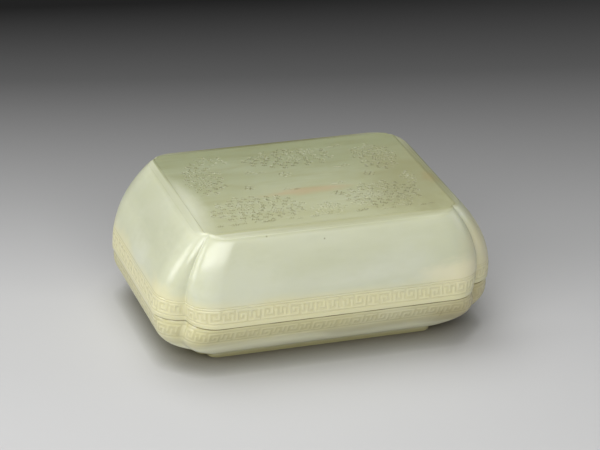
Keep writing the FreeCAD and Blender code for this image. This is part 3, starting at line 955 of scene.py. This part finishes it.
# %% Ink stone
STONE_CORNER, STONE_EDGE, FRAME_INNER, FACE_DEEP = 4.0, 0.7, 3.75, 1.2
POOL_BRIM, POOL_FOOT, POOL_DEEP, POOL_WALL = -12.0, -24.2, 4.4, 0.9
WORN_DEEP, WORN_AT, WORN_REACH = 0.12, (12, 10), (16, 9)     # the hollow that grinding leaves
frame_inset, frame_deep = np.array([
    (1.6, 0.0), (FRAME_INNER - 0.9, 0.0), (FRAME_INNER - 0.3, 0.06), (FRAME_INNER, 0.35),
    (FRAME_INNER + 0.1, FACE_DEEP - 0.3), (FRAME_INNER + 0.35, FACE_DEEP - 0.04)]).T
face_half = (stone_high[1] - stone_low[1]) / 2 - FRAME_INNER - 0.5
face_inset = FRAME_INNER + 0.5 + face_half * np.linspace(0, 0.97, 40) ** 1.35


def eased(share):
    """Three times the share's square less twice its cube, with the share held from 0 to 1."""
    t = np.clip(share, 0, 1)
    return t * t * (3 - 2 * t)


def pool(grid, inset):
    """Lowers the face: an eased slope from the brim to the pool's foot, times a short eased wall.

    The worn hollow is a bell curve of the distance from its middle.
    """
    x, y = grid[:, :, 0], grid[:, :, 1]
    slope = eased((POOL_BRIM - x) / (POOL_BRIM - POOL_FOOT))
    wall = eased((inset - inset[0])[:, None] / POOL_WALL)
    off_x, off_y = (x - WORN_AT[0]) / WORN_REACH[0], (y - WORN_AT[1]) / WORN_REACH[1]
    worn = WORN_DEEP * np.exp(-off_x ** 2 - off_y ** 2)
    lowered = grid.copy()
    lowered[:, :, 2] -= POOL_DEEP * slope * wall + worn * wall
    return lowered, slope * wall


stone_side = slab_side(stone_low, stone_high, STONE_CORNER, STONE_EDGE)
frame_loops = slab_loops(stone_low, stone_high, STONE_CORNER, frame_inset, stone_high[2] - frame_deep)
face_loops = slab_loops(stone_low, stone_high, STONE_CORNER, face_inset, stone_high[2] - FACE_DEEP)
outer_rings = rounded_rectangles(np.vstack([stone_side, frame_loops]), 10, 28)
face_rings, pool_share = pool(rounded_rectangles(face_loops, 10, 28), face_inset)
ink_stone = slab("slate_ink_stone", "inked", stone_low, outer_rings, face_rings,
                 np.clip(pool_share * 1.3, 0, 1))
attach(ink_stone, "ink_stone")
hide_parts("ink_stone")

# %% [markdown]
# ## The ink stick
#
# An ink stick is soot and glue pressed in a carved wooden mould: a bar with soft edges, a raised
# frame round a sunk panel, and a low moulded ornament, here a plain rosette between two rows of
# beads. It is made like the slab; the ornament is a height function of the place on the panel.

# %% Ink stick
STICK_CORNER, STICK_EDGE, STICK_FRAME, PANEL_DEEP = 2.0, 0.9, 1.8, 0.5
ORNAMENT = 0.36                                     # how high the ornament stands
PETALS, PETAL_REACH, PETAL_WAVE, BUTTON = 8, 3.1, 0.75, 1.4
FIRST_BEAD, BEAD_STEP, LAST_BEAD, BEAD_REACH = 9, 3.2, 7, 1.05
stick_low, stick_high = corners_mm("ink_stick")
bar_inset, bar_deep = np.array([(1.35, 0.0), (STICK_FRAME - 0.2, 0.03), (STICK_FRAME, 0.2),
                                (STICK_FRAME + 0.12, PANEL_DEEP - 0.05)]).T
panel_half = (stick_high[1] - stick_low[1]) / 2 - STICK_FRAME - 0.25
panel_inset = STICK_FRAME + 0.25 + panel_half * np.linspace(0, 0.96, 20)


def ornament(grid, middle):
    """Raises a rosette, eight rounded petals round a button, and a row of beads to each side.

    The petals' reach swings with the cosine of eight times the angle. Petals and beads are both
    round-topped: a constant less the fourth power of the distance over their reach, held to 1.
    """
    x, y = grid[:, :, 0] - middle[0], grid[:, :, 1] - middle[1]
    reach, angle = np.hypot(x, y), np.arctan2(y, x)
    petals = np.clip(1.25 - (reach / (PETAL_REACH + PETAL_WAVE * np.cos(PETALS * angle))) ** 4, 0, 1)
    petals *= 1 - 0.5 * np.exp(-((reach - BUTTON) / 0.3) ** 2)
    counted = (np.abs(x) - FIRST_BEAD) / BEAD_STEP
    near = np.round(np.clip(counted, 0, LAST_BEAD))
    beads = np.clip(1.3 - (np.hypot((counted - near) * BEAD_STEP, y) / BEAD_REACH) ** 4, 0, 1)
    height = np.maximum(petals, beads)
    raised = grid.copy()
    raised[:, :, 2] += ORNAMENT * height
    return raised, height


stick_side = slab_side(stick_low, stick_high, STICK_CORNER, STICK_EDGE)
bar_loops = slab_loops(stick_low, stick_high, STICK_CORNER, bar_inset, stick_high[2] - bar_deep)
panel_loops = slab_loops(stick_low, stick_high, STICK_CORNER, panel_inset, stick_high[2] - PANEL_DEEP)
bar_rings = rounded_rectangles(np.vstack([stick_side, bar_loops]), 7, 68)
panel_rings, gilt = ornament(rounded_rectangles(panel_loops, 7, 68), (stick_low + stick_high) / 2)
ink_stick = slab("pressed_ink_stick", "gilt", stick_low, bar_rings, panel_rings, gilt)
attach(ink_stick, "ink_stick")
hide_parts("ink_stick")

# %% [markdown]
# ## Colours and nodes
#
# Every finish below is a small network of shader nodes, so it stays sharp at any distance, which a
# painted picture wouldn't. Colours are written as the eye sees them, from 0 to 255, and turned into
# the linear values that the renderer works in. One helper makes a node and fills or links its
# sockets, which keeps each network as short as its description.

# %% Node helpers
def seen(red, green, blue):
    """A colour as it looks on a screen, 0 to 255, as the linear colour that nodes take.

    The formula is the screen's own curve: nearly a power of 2.4, straight in the darkest part.
    """
    part = np.array([red, green, blue]) / 255
    linear = np.where(part > 0.04045, ((part + 0.055) / 1.055) ** 2.4, part / 12.92)
    return (*linear.tolist(), 1.0)


def node(tree, kind, inputs=None, **settings):
    """Adds a node, sets its settings, and gives each named input a value or a link."""
    made = tree.nodes.new(kind)
    for key, value in settings.items():
        setattr(made, key, value)
    for key, value in (inputs or {}).items():
        if isinstance(value, bpy.types.NodeSocket):
            tree.links.new(value, made.inputs[key])
        else:
            made.inputs[key].default_value = value
    return made


def mix(tree, share, first, second, blend="MIX"):
    """Mixes two colours and gives the socket of the result."""
    return node(tree, "ShaderNodeMix", {0: share, 6: first, 7: second}, data_type="RGBA",
                blend_type=blend).outputs[2]


def span(tree, value, low, high, to_low=0.0, to_high=1.0):
    """Maps a range of values on to another, with soft ends, and gives the socket of the result."""
    return node(tree, "ShaderNodeMapRange", {0: value, 1: low, 2: high, 3: to_low, 4: to_high},
                interpolation_type="SMOOTHSTEP").outputs[0]


def sum_of(tree, first, second):
    """The sum of two values."""
    return node(tree, "ShaderNodeMath", {0: first, 1: second}, operation="ADD").outputs[0]


def less(tree, first, second):
    """The first value less the second."""
    return node(tree, "ShaderNodeMath", {0: first, 1: second}, operation="SUBTRACT").outputs[0]


def times(tree, first, second):
    """The product of two values."""
    return node(tree, "ShaderNodeMath", {0: first, 1: second}, operation="MULTIPLY").outputs[0]


def noise(tree, place, scale, detail, roughness=0.5, distortion=0.0):
    """Cloudy noise at a place: octaves of smooth random values, each finer and weaker."""
    return node(tree, "ShaderNodeTexNoise", {"Vector": place, "Scale": scale, "Detail": detail,
                                             "Roughness": roughness, "Distortion": distortion}).outputs[0]


print("white is", seen(255, 255, 255)[:3])

# %% [markdown]
# ## Groups and empty materials
#
# A node group is to a material what a function is to a script: it is written once and placed many
# times with other values. Every material starts from the Principled shader, which covers stone, ink
# and paper alike, and each stone gets its polish from a roughness and a very shallow bump.

# %% Groups and materials
def group(name, inputs, outputs):
    """A new node group, from the types and values of its named inputs and types of its outputs."""
    tree = bpy.data.node_groups.new(name, "ShaderNodeTree")
    for label, (kind, value) in inputs.items():
        socket = tree.interface.new_socket(label, in_out="INPUT", socket_type="NodeSocket" + kind)
        if value is not None:
            socket.default_value = value
    for label, kind in outputs.items():
        tree.interface.new_socket(label, in_out="OUTPUT", socket_type="NodeSocket" + kind)
    return tree, tree.nodes.new("NodeGroupInput").outputs, tree.nodes.new("NodeGroupOutput").inputs


def group_node(tree, which, inputs):
    """Places a node group in a tree and gives its outputs."""
    return node(tree, "ShaderNodeGroup", inputs, node_tree=which).outputs


def blank_material(name):
    """A material with nothing but a Principled shader and an output."""
    material = bpy.data.materials.new(name)
    material.use_nodes = True
    return material, material.node_tree, material.node_tree.nodes["Principled BSDF"]


def finish_stone(tree, shader, colour, roughness, height, bump):
    """Links colour, roughness and a shallow bump to the shader."""
    tree.links.new(colour, shader.inputs["Base Color"])
    tree.links.new(roughness, shader.inputs["Roughness"])
    relief = node(tree, "ShaderNodeBump", {"Height": height, "Strength": 1.0, "Distance": bump})
    tree.links.new(relief.outputs[0], shader.inputs["Normal"])


print("materials before the finishes:", len(bpy.data.materials))

# %% [markdown]
# ## What stone finishes share
#
# Jade, slate and pressed ink all have soft clouds of colour inside them, a polish that is a little
# uneven, and a surface that is never quite flat. One node group makes the clouds and another the
# polish, and both are placed in every stone with its own values. The groups put out colours,
# roughness, masks and heights only; the shader stays in the material.

# %% Clouds and polish
VECTOR, COLOUR = ("Vector", None), ("Color", None)
clouds, put, out = group("stone_clouds", {"Vector": VECTOR, "Scale": ("Float", 30.0), "Body": COLOUR,
                                          "Pale": COLOUR, "Deep": COLOUR},
                         {"Color": "Color", "Cloud": "Float"})
broad = noise(clouds, put["Vector"], put["Scale"], 4.0, 0.5, 0.4)
fine = noise(clouds, put["Vector"], times(clouds, put["Scale"], 3.7), 3.0, 0.55)
paled = mix(clouds, span(clouds, broad, 0.42, 0.74), put["Body"], put["Pale"])
deepened = mix(clouds, times(clouds, span(clouds, fine, 0.42, 0.85), 0.6), paled, put["Deep"])
clouds.links.new(deepened, out["Color"])
clouds.links.new(broad, out["Cloud"])

polish, put, out = group("uneven_polish", {"Vector": VECTOR, "Scale": ("Float", 60.0),
                                           "Smooth": ("Float", 0.25), "Dull": ("Float", 0.4)},
                         {"Roughness": "Float", "Height": "Float"})
rubbed = noise(polish, put["Vector"], put["Scale"], 5.0, 0.6)
waves = noise(polish, put["Vector"], times(polish, put["Scale"], 6.0), 3.0)
polish.links.new(span(polish, rubbed, 0.35, 0.7, put["Smooth"], put["Dull"]), out["Roughness"])
polish.links.new(sum_of(polish, rubbed, times(polish, waves, 0.12)), out["Height"])
print("groups so far:", ", ".join(g.name for g in bpy.data.node_groups))

# %% [markdown]
# ## Dirt and spots
#
# Two more groups are for the jade alone. Residue lets a stain show only in the cuts, held unevenly as
# wax and dust are; it also carries the painted shade of the crease line and the painted shadow under
# the cover's lip. A spot is a soft ellipsoid with a ragged edge, which stands for any place where the
# stone has another colour, and for a few places of painted light and shade. A mask that depends only
# on the place needs no painted map.

# %% Residue and spots
residue_and_shade, put, out = group("residue_and_shade_in_cuts", {"Color": COLOUR, "Cut": ("Float", 0.0), "Stain": COLOUR,
                                              "Strength": ("Float", 0.5), "Vector": VECTOR},
                          {"Color": "Color"})
uneven = span(residue_and_shade, noise(residue_and_shade, put["Vector"], 90.0, 3.0), 0.3, 0.62, 0.45, 1.0)
held = times(residue_and_shade, times(residue_and_shade, put["Cut"], put["Strength"]), uneven)
residue_and_shade.links.new(mix(residue_and_shade, held, put["Color"], put["Stain"]), out["Color"])

spot, put, out = group("soft_spot", {"Vector": VECTOR, "Middle": VECTOR, "Reach": VECTOR,
                                     "Ragged": ("Float", 0.5)}, {"Mask": "Float"})
away = node(spot, "ShaderNodeVectorMath", {0: put["Vector"], 1: put["Middle"]}, operation="SUBTRACT")
scaled = node(spot, "ShaderNodeVectorMath", {0: away.outputs[0], 1: put["Reach"]}, operation="DIVIDE")
length = node(spot, "ShaderNodeVectorMath", {0: scaled.outputs[0]}, operation="LENGTH")
tatter = less(spot, noise(spot, scaled.outputs[0], 1.6, 6.0, 0.65), 0.5)
edge = sum_of(spot, length.outputs["Value"], times(spot, tatter, times(spot, put["Ragged"], 4.0)))
spot.links.new(span(spot, edge, 1.0, 0.25), out["Mask"])
print("groups:", ", ".join(g.name for g in bpy.data.node_groups))

# %% [markdown]
# ## Nephrite
#
# This jade is a waxy, slightly translucent stone: light enters a few millimetres, so shadows in the
# fret are soft, and the polish gives wide, gentle highlights. The body is a greyish green white with
# cloudy patches; the cover's rim, where the block's outer skin was, is creamy yellow, and one russet
# vein crosses the panel. The box's lower bowl is paler with painted light, and the panel is darker
# with painted shade over its own olive tone. Colour follows the place in the stone, so it is read
# from object coordinates.

# %% Nephrite
IOR_NEPHRITE, LIGHT_ENTERS = 1.61, 0.0025       # how far light enters, in metres
WANDERING = 0.022       # how far the rim zone wanders up and down with the clouds, in metres
CUT_EDGE = 0.0004       # over which a stain fades at the ends of its zone, in metres


def cloudy(tree, place, scale, colours):
    """The cloud group with its body, pale and deep colour."""
    body, pale, deep = colours
    return group_node(tree, clouds, {"Vector": place, "Scale": scale, "Body": body, "Pale": pale,
                                     "Deep": deep})


def panel_colour_and_shade(tree, place, fronts, backs):
    """Streaky clouds for the panel, passing from the colours of its front to those of its back."""
    # painted shade: the panel is darker than the flanks, and darker still towards its back
    streaks = node(tree, "ShaderNodeMapping", {"Vector": place, "Scale": (0.22, 1.0, 1.0)}).outputs[0]
    front, back = (cloudy(tree, streaks, 60.0, colours)["Color"] for colours in (fronts, backs))
    far = node(tree, "ShaderNodeSeparateXYZ", {0: place}).outputs[1]
    return mix(tree, span(tree, far, PANEL_HALF[1] * -MM, PANEL_HALF[1] * MM), front, back)


def nephrite(name, colours, rim, marks, cuts, panel=None):
    """A nephrite material: clouds, a tinted rim zone, spots of other colour, and stained cuts.

    The rim is its colour and the heights from which and at which it is full; on the box that colour
    is painted light on the bowl's underside. A panel, where there is one, is given by two sets of
    cloud colours, for its front and its back, darkened with painted shade. Some spots and cuts carry
    painted light and shade as well.
    is one, is given by two sets of cloud colours, for its front and its back.
    """
    material, tree, shader = blank_material(name)
    place = node(tree, "ShaderNodeTexCoord").outputs["Object"]
    drawn = node(tree, "ShaderNodeMapping", {"Vector": place, "Scale": (0.45, 1.0, 1.2)}).outputs[0]
    cloud = cloudy(tree, drawn, 34.0, colours)
    height = node(tree, "ShaderNodeSeparateXYZ", {0: place}).outputs[2]
    wandering = sum_of(tree, height, times(tree, less(tree, cloud["Cloud"], 0.5), WANDERING))
    rim_tint_and_painted_light, rim_from, rim_to = rim
    colour = mix(tree, span(tree, wandering, rim_from, rim_to), cloud["Color"], rim_tint_and_painted_light)
    # the panel's own colour, with its painted shade, takes over at the very top
    if panel:
        on_top = span(tree, height, (TOP - 0.25) * MM, (TOP - 0.16) * MM)
        colour = mix(tree, on_top, colour, panel_colour_and_shade(tree, place, *panel))
    for middle, reach, ragged, tint, strength in marks:
        mask = group_node(tree, spot, {"Vector": place, "Middle": middle, "Reach": reach,
                                       "Ragged": ragged})["Mask"]
        colour = mix(tree, times(tree, mask, strength), colour, tint)
    carved = node(tree, "ShaderNodeAttribute", attribute_name="carved").outputs["Fac"]
    carved = span(tree, carved, 0.05, 0.6)
    for low, high, stain_and_shade, strength in cuts:
        zone = times(tree, span(tree, height, low - CUT_EDGE, low),
                     span(tree, height, high + CUT_EDGE, high))
        colour = group_node(tree, residue_and_shade, {"Color": colour, "Cut": times(tree, carved, zone),
                                            "Stain": stain_and_shade, "Strength": strength,
                                            "Vector": place})["Color"]
    worn = group_node(tree, polish, {"Vector": place, "Scale": 55.0, "Smooth": 0.22, "Dull": 0.26})
    finish_stone(tree, shader, colour, worn["Roughness"], worn["Height"], 0.00003)
    shader.inputs["IOR"].default_value = IOR_NEPHRITE
    shader.inputs["Subsurface Weight"].default_value = 0.25
    shader.inputs["Subsurface Radius"].default_value = (1.0, 0.9, 0.5)
    shader.inputs["Subsurface Scale"].default_value = LIGHT_ENTERS
    return material


print("light enters the stone by %.1f mm" % (LIGHT_ENTERS / MM))

# %% [markdown]
# ## Where the stone changes colour
#
# No two places of a real block are alike. Large soft spots carry the colour changes of this one: a
# paled end, an olive skin along the panel's edges, brown stains, and two dark specks. Some spots are
# also painted light and shade: the olive edges are partly painted shade on the bevels, the left end
# is greyed with painted shade, the creamy right end is partly painted light, and the box's foot is
# darkened partly with painted shade. Each is an ellipsoid in the stone, with a ragged edge from
# noise, so it goes round corners as a real patch does, and needs no painted map. Dirt and wax from
# years of handling stay in the cuts, strongest on the panel and at the box's rim; the dark line
# there, under the cover's lip, is partly painted shadow, and the cover's crease line is painted shade.

# %% Marks of the cover
# each mark: middle and reach in metres, raggedness, colour, strength
EDGE_TOP, BEVEL_MIDDLE = 0.0572, 0.0570
OLIVE_EDGE_AND_SHADE = seen(140, 140, 98)
COVER_MARKS = [
    # paled left end of the panel, and the strip along its front
    ((-0.054, -0.012, TOP * MM), (0.013, 0.038, 0.0015), 0.12, seen(216, 219, 195), 0.8),
    ((0.0, -0.040, TOP * MM), (0.06, 0.0065, 0.0008), 0.12, seen(197, 198, 164), 0.5),
    # olive skin along the back, right, front and left edge, partly painted shade that darkens the bevels
    ((0.0, 0.0405, EDGE_TOP), (0.075, 0.0042, 0.003), 0.05, OLIVE_EDGE_AND_SHADE, 0.95),
    ((0.0545, 0.004, EDGE_TOP), (0.0042, 0.05, 0.003), 0.05, OLIVE_EDGE_AND_SHADE, 0.62),
    ((0.0, -0.0395, BEVEL_MIDDLE), (0.075, 0.0046, 0.0022), 0.05, OLIVE_EDGE_AND_SHADE, 0.44),
    ((-0.0535, 0.0, BEVEL_MIDDLE), (0.0042, 0.05, 0.0022), 0.05, OLIVE_EDGE_AND_SHADE, 0.28),
    # brownish right end of the panel, and the creamy right end below it, partly painted light that lifts
    # the right end out of shade
    ((0.046, -0.010, TOP * MM), (0.034, 0.05, 0.0012), 0.3, seen(156, 155, 117), 0.7),
    ((0.068, -0.034, 0.040), (0.022, 0.03, 0.022), 0.2, seen(222, 213, 174), 0.6),
    # russet vein, and a brown stain at its right
    ((0.0, -0.0085, TOP * MM), (0.024, 0.0042, 0.002), 0.4, seen(192, 162, 126), 0.45),
    ((0.051, -0.008, TOP * MM), (0.005, 0.007, 0.002), 0.4, seen(166, 144, 98), 0.3),
    # two dark specks
    ((-0.0285, -0.0415, 0.0562), (0.0006, 0.0006, 0.0006), 0.1, seen(110, 102, 66), 0.8),
    ((-0.0055, -0.043, 0.0532), (0.0005, 0.0005, 0.0005), 0.1, seen(120, 112, 74), 0.7),
    # pale patches on the front, and painted shade that greys the upper left end
    ((0.050, -0.048, 0.0345), (0.022, 0.010, 0.007), 0.3, seen(228, 222, 190), 0.6),
    ((-0.040, -0.047, 0.0400), (0.026, 0.012, 0.013), 0.3, seen(215, 218, 196), 0.6),
    ((-0.063, 0.006, 0.052), (0.016, 0.055, 0.015), 0.3, seen(180, 183, 157), 0.5)]
# each stain: lowest and highest height in metres, colour, strength
COVER_STAINS_AND_SHADE = [(0.0560, 0.0580, seen(102, 98, 58), 0.85), (0.020, 0.050, seen(182, 173, 126), 0.2)]
# the panel's colours: its own streaky olive tone, darkened with painted shade below the flanks' colour,
# most at the back
PANEL_FRONT_SHADED = (seen(185, 187, 151), seen(191, 194, 163), seen(175, 175, 134))
PANEL_BACK_SHADED = (seen(157, 162, 128), seen(168, 173, 142), seen(145, 145, 106))
cover.data.materials.append(nephrite(
    "nephrite_cover", (seen(201, 204, 176), seen(209, 212, 190), seen(195, 198, 168)),
    (seen(219, 215, 174), 0.0375, 0.0295), COVER_MARKS, COVER_STAINS_AND_SHADE, (PANEL_FRONT_SHADED, PANEL_BACK_SHADED)))
print("%s has %d marks" % (cover.name, len(COVER_MARKS)))

# %% Marks of the box
BOX_MARKS = [
    # foot darkened by dirt and by painted shade, brown right end, and a fine crack
    ((0.0, 0.0, 0.0), (0.2, 0.2, 0.0036), 0.03, seen(150, 143, 98), 0.95),
    ((0.06, -0.044, 0.012), (0.03, 0.03, 0.02), 0.25, seen(180, 166, 118), 0.6),
    ((0.044, -0.047, 0.013), (0.0007, 0.004, 0.006), 0.2, seen(140, 122, 78), 0.5)]
# the second stain darkens the strip just under the seam: dirt in the joint and painted shadow under the
# cover's lip
BOX_STAINS_AND_SHADOW = [(0.0, 0.0212, seen(150, 142, 98), 0.22), (0.0221, 0.0224, seen(112, 102, 58), 0.85)]
# the box's lower zone is painted light: a pale colour that lifts the bowl's underside, which faces away
# from the lamps
box.data.materials.append(nephrite(
    "nephrite_box", (seen(207, 202, 157), seen(213, 210, 174), seen(202, 197, 151)),
    (seen(244, 243, 208), 0.0150, 0.0080), BOX_MARKS, BOX_STAINS_AND_SHADOW))
print("%s has %d marks" % (box.name, len(BOX_MARKS)))

# %% [markdown]
# ## Slate and ink
#
# The ink stone's slate is a dark, faintly purple grey with a honed surface, blacker and shinier where
# ink has dried in the pool. The ink stick is pressed soot, almost black with a soft shine, and its
# ornament keeps traces of gold powder. Both reuse the shared groups.

# %% Slate and ink
def dark_stone(name, colours, polished, mark, mark_colour, mark_roughness, grain, metal=False):
    """Slate or ink: clouds of dark colours, and one painted mark that changes colour and shine.

    The mark is an attribute of the piece, times noise of the grain's scale between its two levels.
    """
    material, tree, shader = blank_material(name)
    place = node(tree, "ShaderNodeTexCoord").outputs["Object"]
    cloud = cloudy(tree, place, 70.0, colours)
    marked = node(tree, "ShaderNodeAttribute", attribute_name=mark).outputs["Fac"]
    scale, missing, full = grain
    share = times(tree, marked, span(tree, noise(tree, place, scale, 5.0), missing, full))
    smooth, dull = polished
    worn = group_node(tree, polish, {"Vector": place, "Scale": 120.0, "Smooth": smooth, "Dull": dull})
    glossy = node(tree, "ShaderNodeMix", {0: share, 2: worn["Roughness"], 3: mark_roughness}).outputs[0]
    painted = mix(tree, share, cloud["Color"], mark_colour)
    finish_stone(tree, shader, painted, glossy, worn["Height"], 0.0001)
    if metal:
        tree.links.new(share, shader.inputs["Metallic"])
    return material


SLATE = (seen(66, 64, 70), seen(84, 82, 88), seen(48, 46, 52))
SOOT = (seen(34, 33, 34), seen(46, 45, 46), seen(26, 25, 26))
ink_stone.data.materials.append(dark_stone("honed_slate", SLATE, (0.42, 0.6), "inked",
                                           seen(26, 26, 28), 0.24, (130.0, 0.1, 0.55)))
ink_stick.data.materials.append(dark_stone("pressed_ink", SOOT, (0.3, 0.45), "gilt",
                                           seen(196, 152, 74), 0.38, (420.0, 0.3, 0.55), metal=True))
print("finished:", ", ".join(piece.active_material.name for piece in (ink_stone, ink_stick)))

# %% [markdown]
# ## Floor and light
#
# The box stands on plain grey paper, with painted shade that darkens it softly towards the back,
# which sets off the pale stone. The painted shade is in the paper's colour, along the direction in
# which the camera looks, so the light can stay even on the box. Close under the stone the paper also
# gets a painted olive contact shadow, by how little of the room the paper can see from there.

# %% Floor
# how far behind the box's middle, in millimetres, and the grey level there; the fall is painted shade
PAPER_GREYS_AND_SHADE = ((-118, 193), (0, 187), (100, 155), (250, 88), (360, 30))
FALL_TO_SIDE = 0.7      # share of the darkening that is lost per metre to the right
# painted contact shadow: close under the stone the paper is darkened and tinted olive, for camera rays
# only
CONTACT_SHADOW, CONTACT_SHADOW_RAYS = 0.011, 12       # how far from the stone its tint reaches, in metres
floor_mesh = bpy.data.meshes.new("floor")
floor_mesh.from_pydata([(-3, -3, 0), (3, -3, 0), (3, 3, 0), (-3, 3, 0)], [], [(0, 1, 2, 3)])
floor = bpy.data.objects.new("floor", floor_mesh)
bpy.context.collection.objects.link(floor)
print("floor:", floor.name)

# %% Paper
paper, tree, shader = blank_material("grey_paper")
place = node(tree, "ShaderNodeTexCoord").outputs["Object"]
turned = node(tree, "ShaderNodeMapping", {"Vector": place, "Rotation": (0, 0, -TURN)}).outputs[0]
aside, behind = node(tree, "ShaderNodeSeparateXYZ", {0: turned}).outputs[:2]
behind = times(tree, behind, less(tree, 1.0, times(tree, aside, FALL_TO_SIDE)))
reach = node(tree, "ShaderNodeMapRange", {0: behind, 1: PAPER_GREYS_AND_SHADE[0][0] * MM, 2: PAPER_GREYS_AND_SHADE[-1][0] * MM}).outputs[0]
ramp = node(tree, "ShaderNodeValToRGB", {0: reach})
ramp.color_ramp.interpolation = "LINEAR"
while len(ramp.color_ramp.elements) < len(PAPER_GREYS_AND_SHADE):
    ramp.color_ramp.elements.new(0.5)
for element, (distance, grey) in zip(ramp.color_ramp.elements, PAPER_GREYS_AND_SHADE):
    element.position = (distance - PAPER_GREYS_AND_SHADE[0][0]) / (PAPER_GREYS_AND_SHADE[-1][0] - PAPER_GREYS_AND_SHADE[0][0])
    element.color = seen(grey, grey, grey)
# painted contact shadow: where little of the room is open to the paper, its colour is multiplied by a dark
# olive
open_to_sky = node(tree, "ShaderNodeAmbientOcclusion", {"Distance": CONTACT_SHADOW}, samples=CONTACT_SHADOW_RAYS)
by_eye = node(tree, "ShaderNodeLightPath").outputs["Is Camera Ray"]
closed = times(tree, by_eye, less(tree, 1.0, open_to_sky.outputs["AO"]))
shaded = mix(tree, 1.0, ramp.outputs[0], seen(118, 110, 78), "MULTIPLY")
tree.links.new(mix(tree, closed, ramp.outputs[0], shaded), shader.inputs["Base Color"])
shader.inputs["Roughness"].default_value = 0.9
shader.inputs["Specular IOR Level"].default_value = 0.1
floor_mesh.materials.append(paper)
print("paper: %d greys over %d mm" % (len(PAPER_GREYS_AND_SHADE), PAPER_GREYS_AND_SHADE[-1][0] - PAPER_GREYS_AND_SHADE[0][0]))

# %% [markdown]
# ## The light
#
# A carved stone is best lit by large soft lamps: a long window in front gives the wide highlights
# on the lobes, a card at the left opens the left end, one overhead lights the panel from behind,
# and a weak card keeps the right end from going dark. Rectangular lamps give even reflections with
# straight edges, as real windows and cards do; a point lamp would leave small hard spots. The dim
# world fills what no lamp reaches.

# %% Light
WORLD_STRENGTH, AIMED_AT = 0.15, 0.03       # the lamps face a point 30 mm above the floor
bpy.context.scene.view_settings.view_transform = "Standard"
world = bpy.data.worlds.new("soft_room")
bpy.context.scene.world = world
world.use_nodes = True
world.node_tree.nodes["Background"].inputs["Strength"].default_value = WORLD_STRENGTH


def softbox(name, turn, rise, distance, size, radiance):
    """A rectangular lamp that faces the box; pi times area times radiance is its power."""
    data = bpy.data.lights.new(name, "AREA")
    data.shape = "RECTANGLE"
    data.size, data.size_y = size
    data.energy = math.pi * size[0] * size[1] * radiance
    lamp = bpy.data.objects.new(name, data)
    bpy.context.collection.objects.link(lamp)
    turn, rise = math.radians(turn), math.radians(rise)
    way = Vector((math.sin(turn) * math.cos(rise), -math.cos(turn) * math.cos(rise), math.sin(rise)))
    lamp.location = way * distance + Vector((0, 0, AIMED_AT))
    lamp.rotation_euler = way.to_track_quat("Z", "Y").to_euler()
    print("%s: %.1f W" % (name, data.energy))


softbox("window", -27, 34, 1.25, (1.6, 0.5), 5.4)
softbox("left_card", -96, 17, 0.9, (0.35, 0.5), 3.9)
softbox("overhead", -135, 77, 1.2, (1.2, 1.1), 2.9)
softbox("right_card", 78, 24, 1.1, (0.5, 0.5), 1.0)
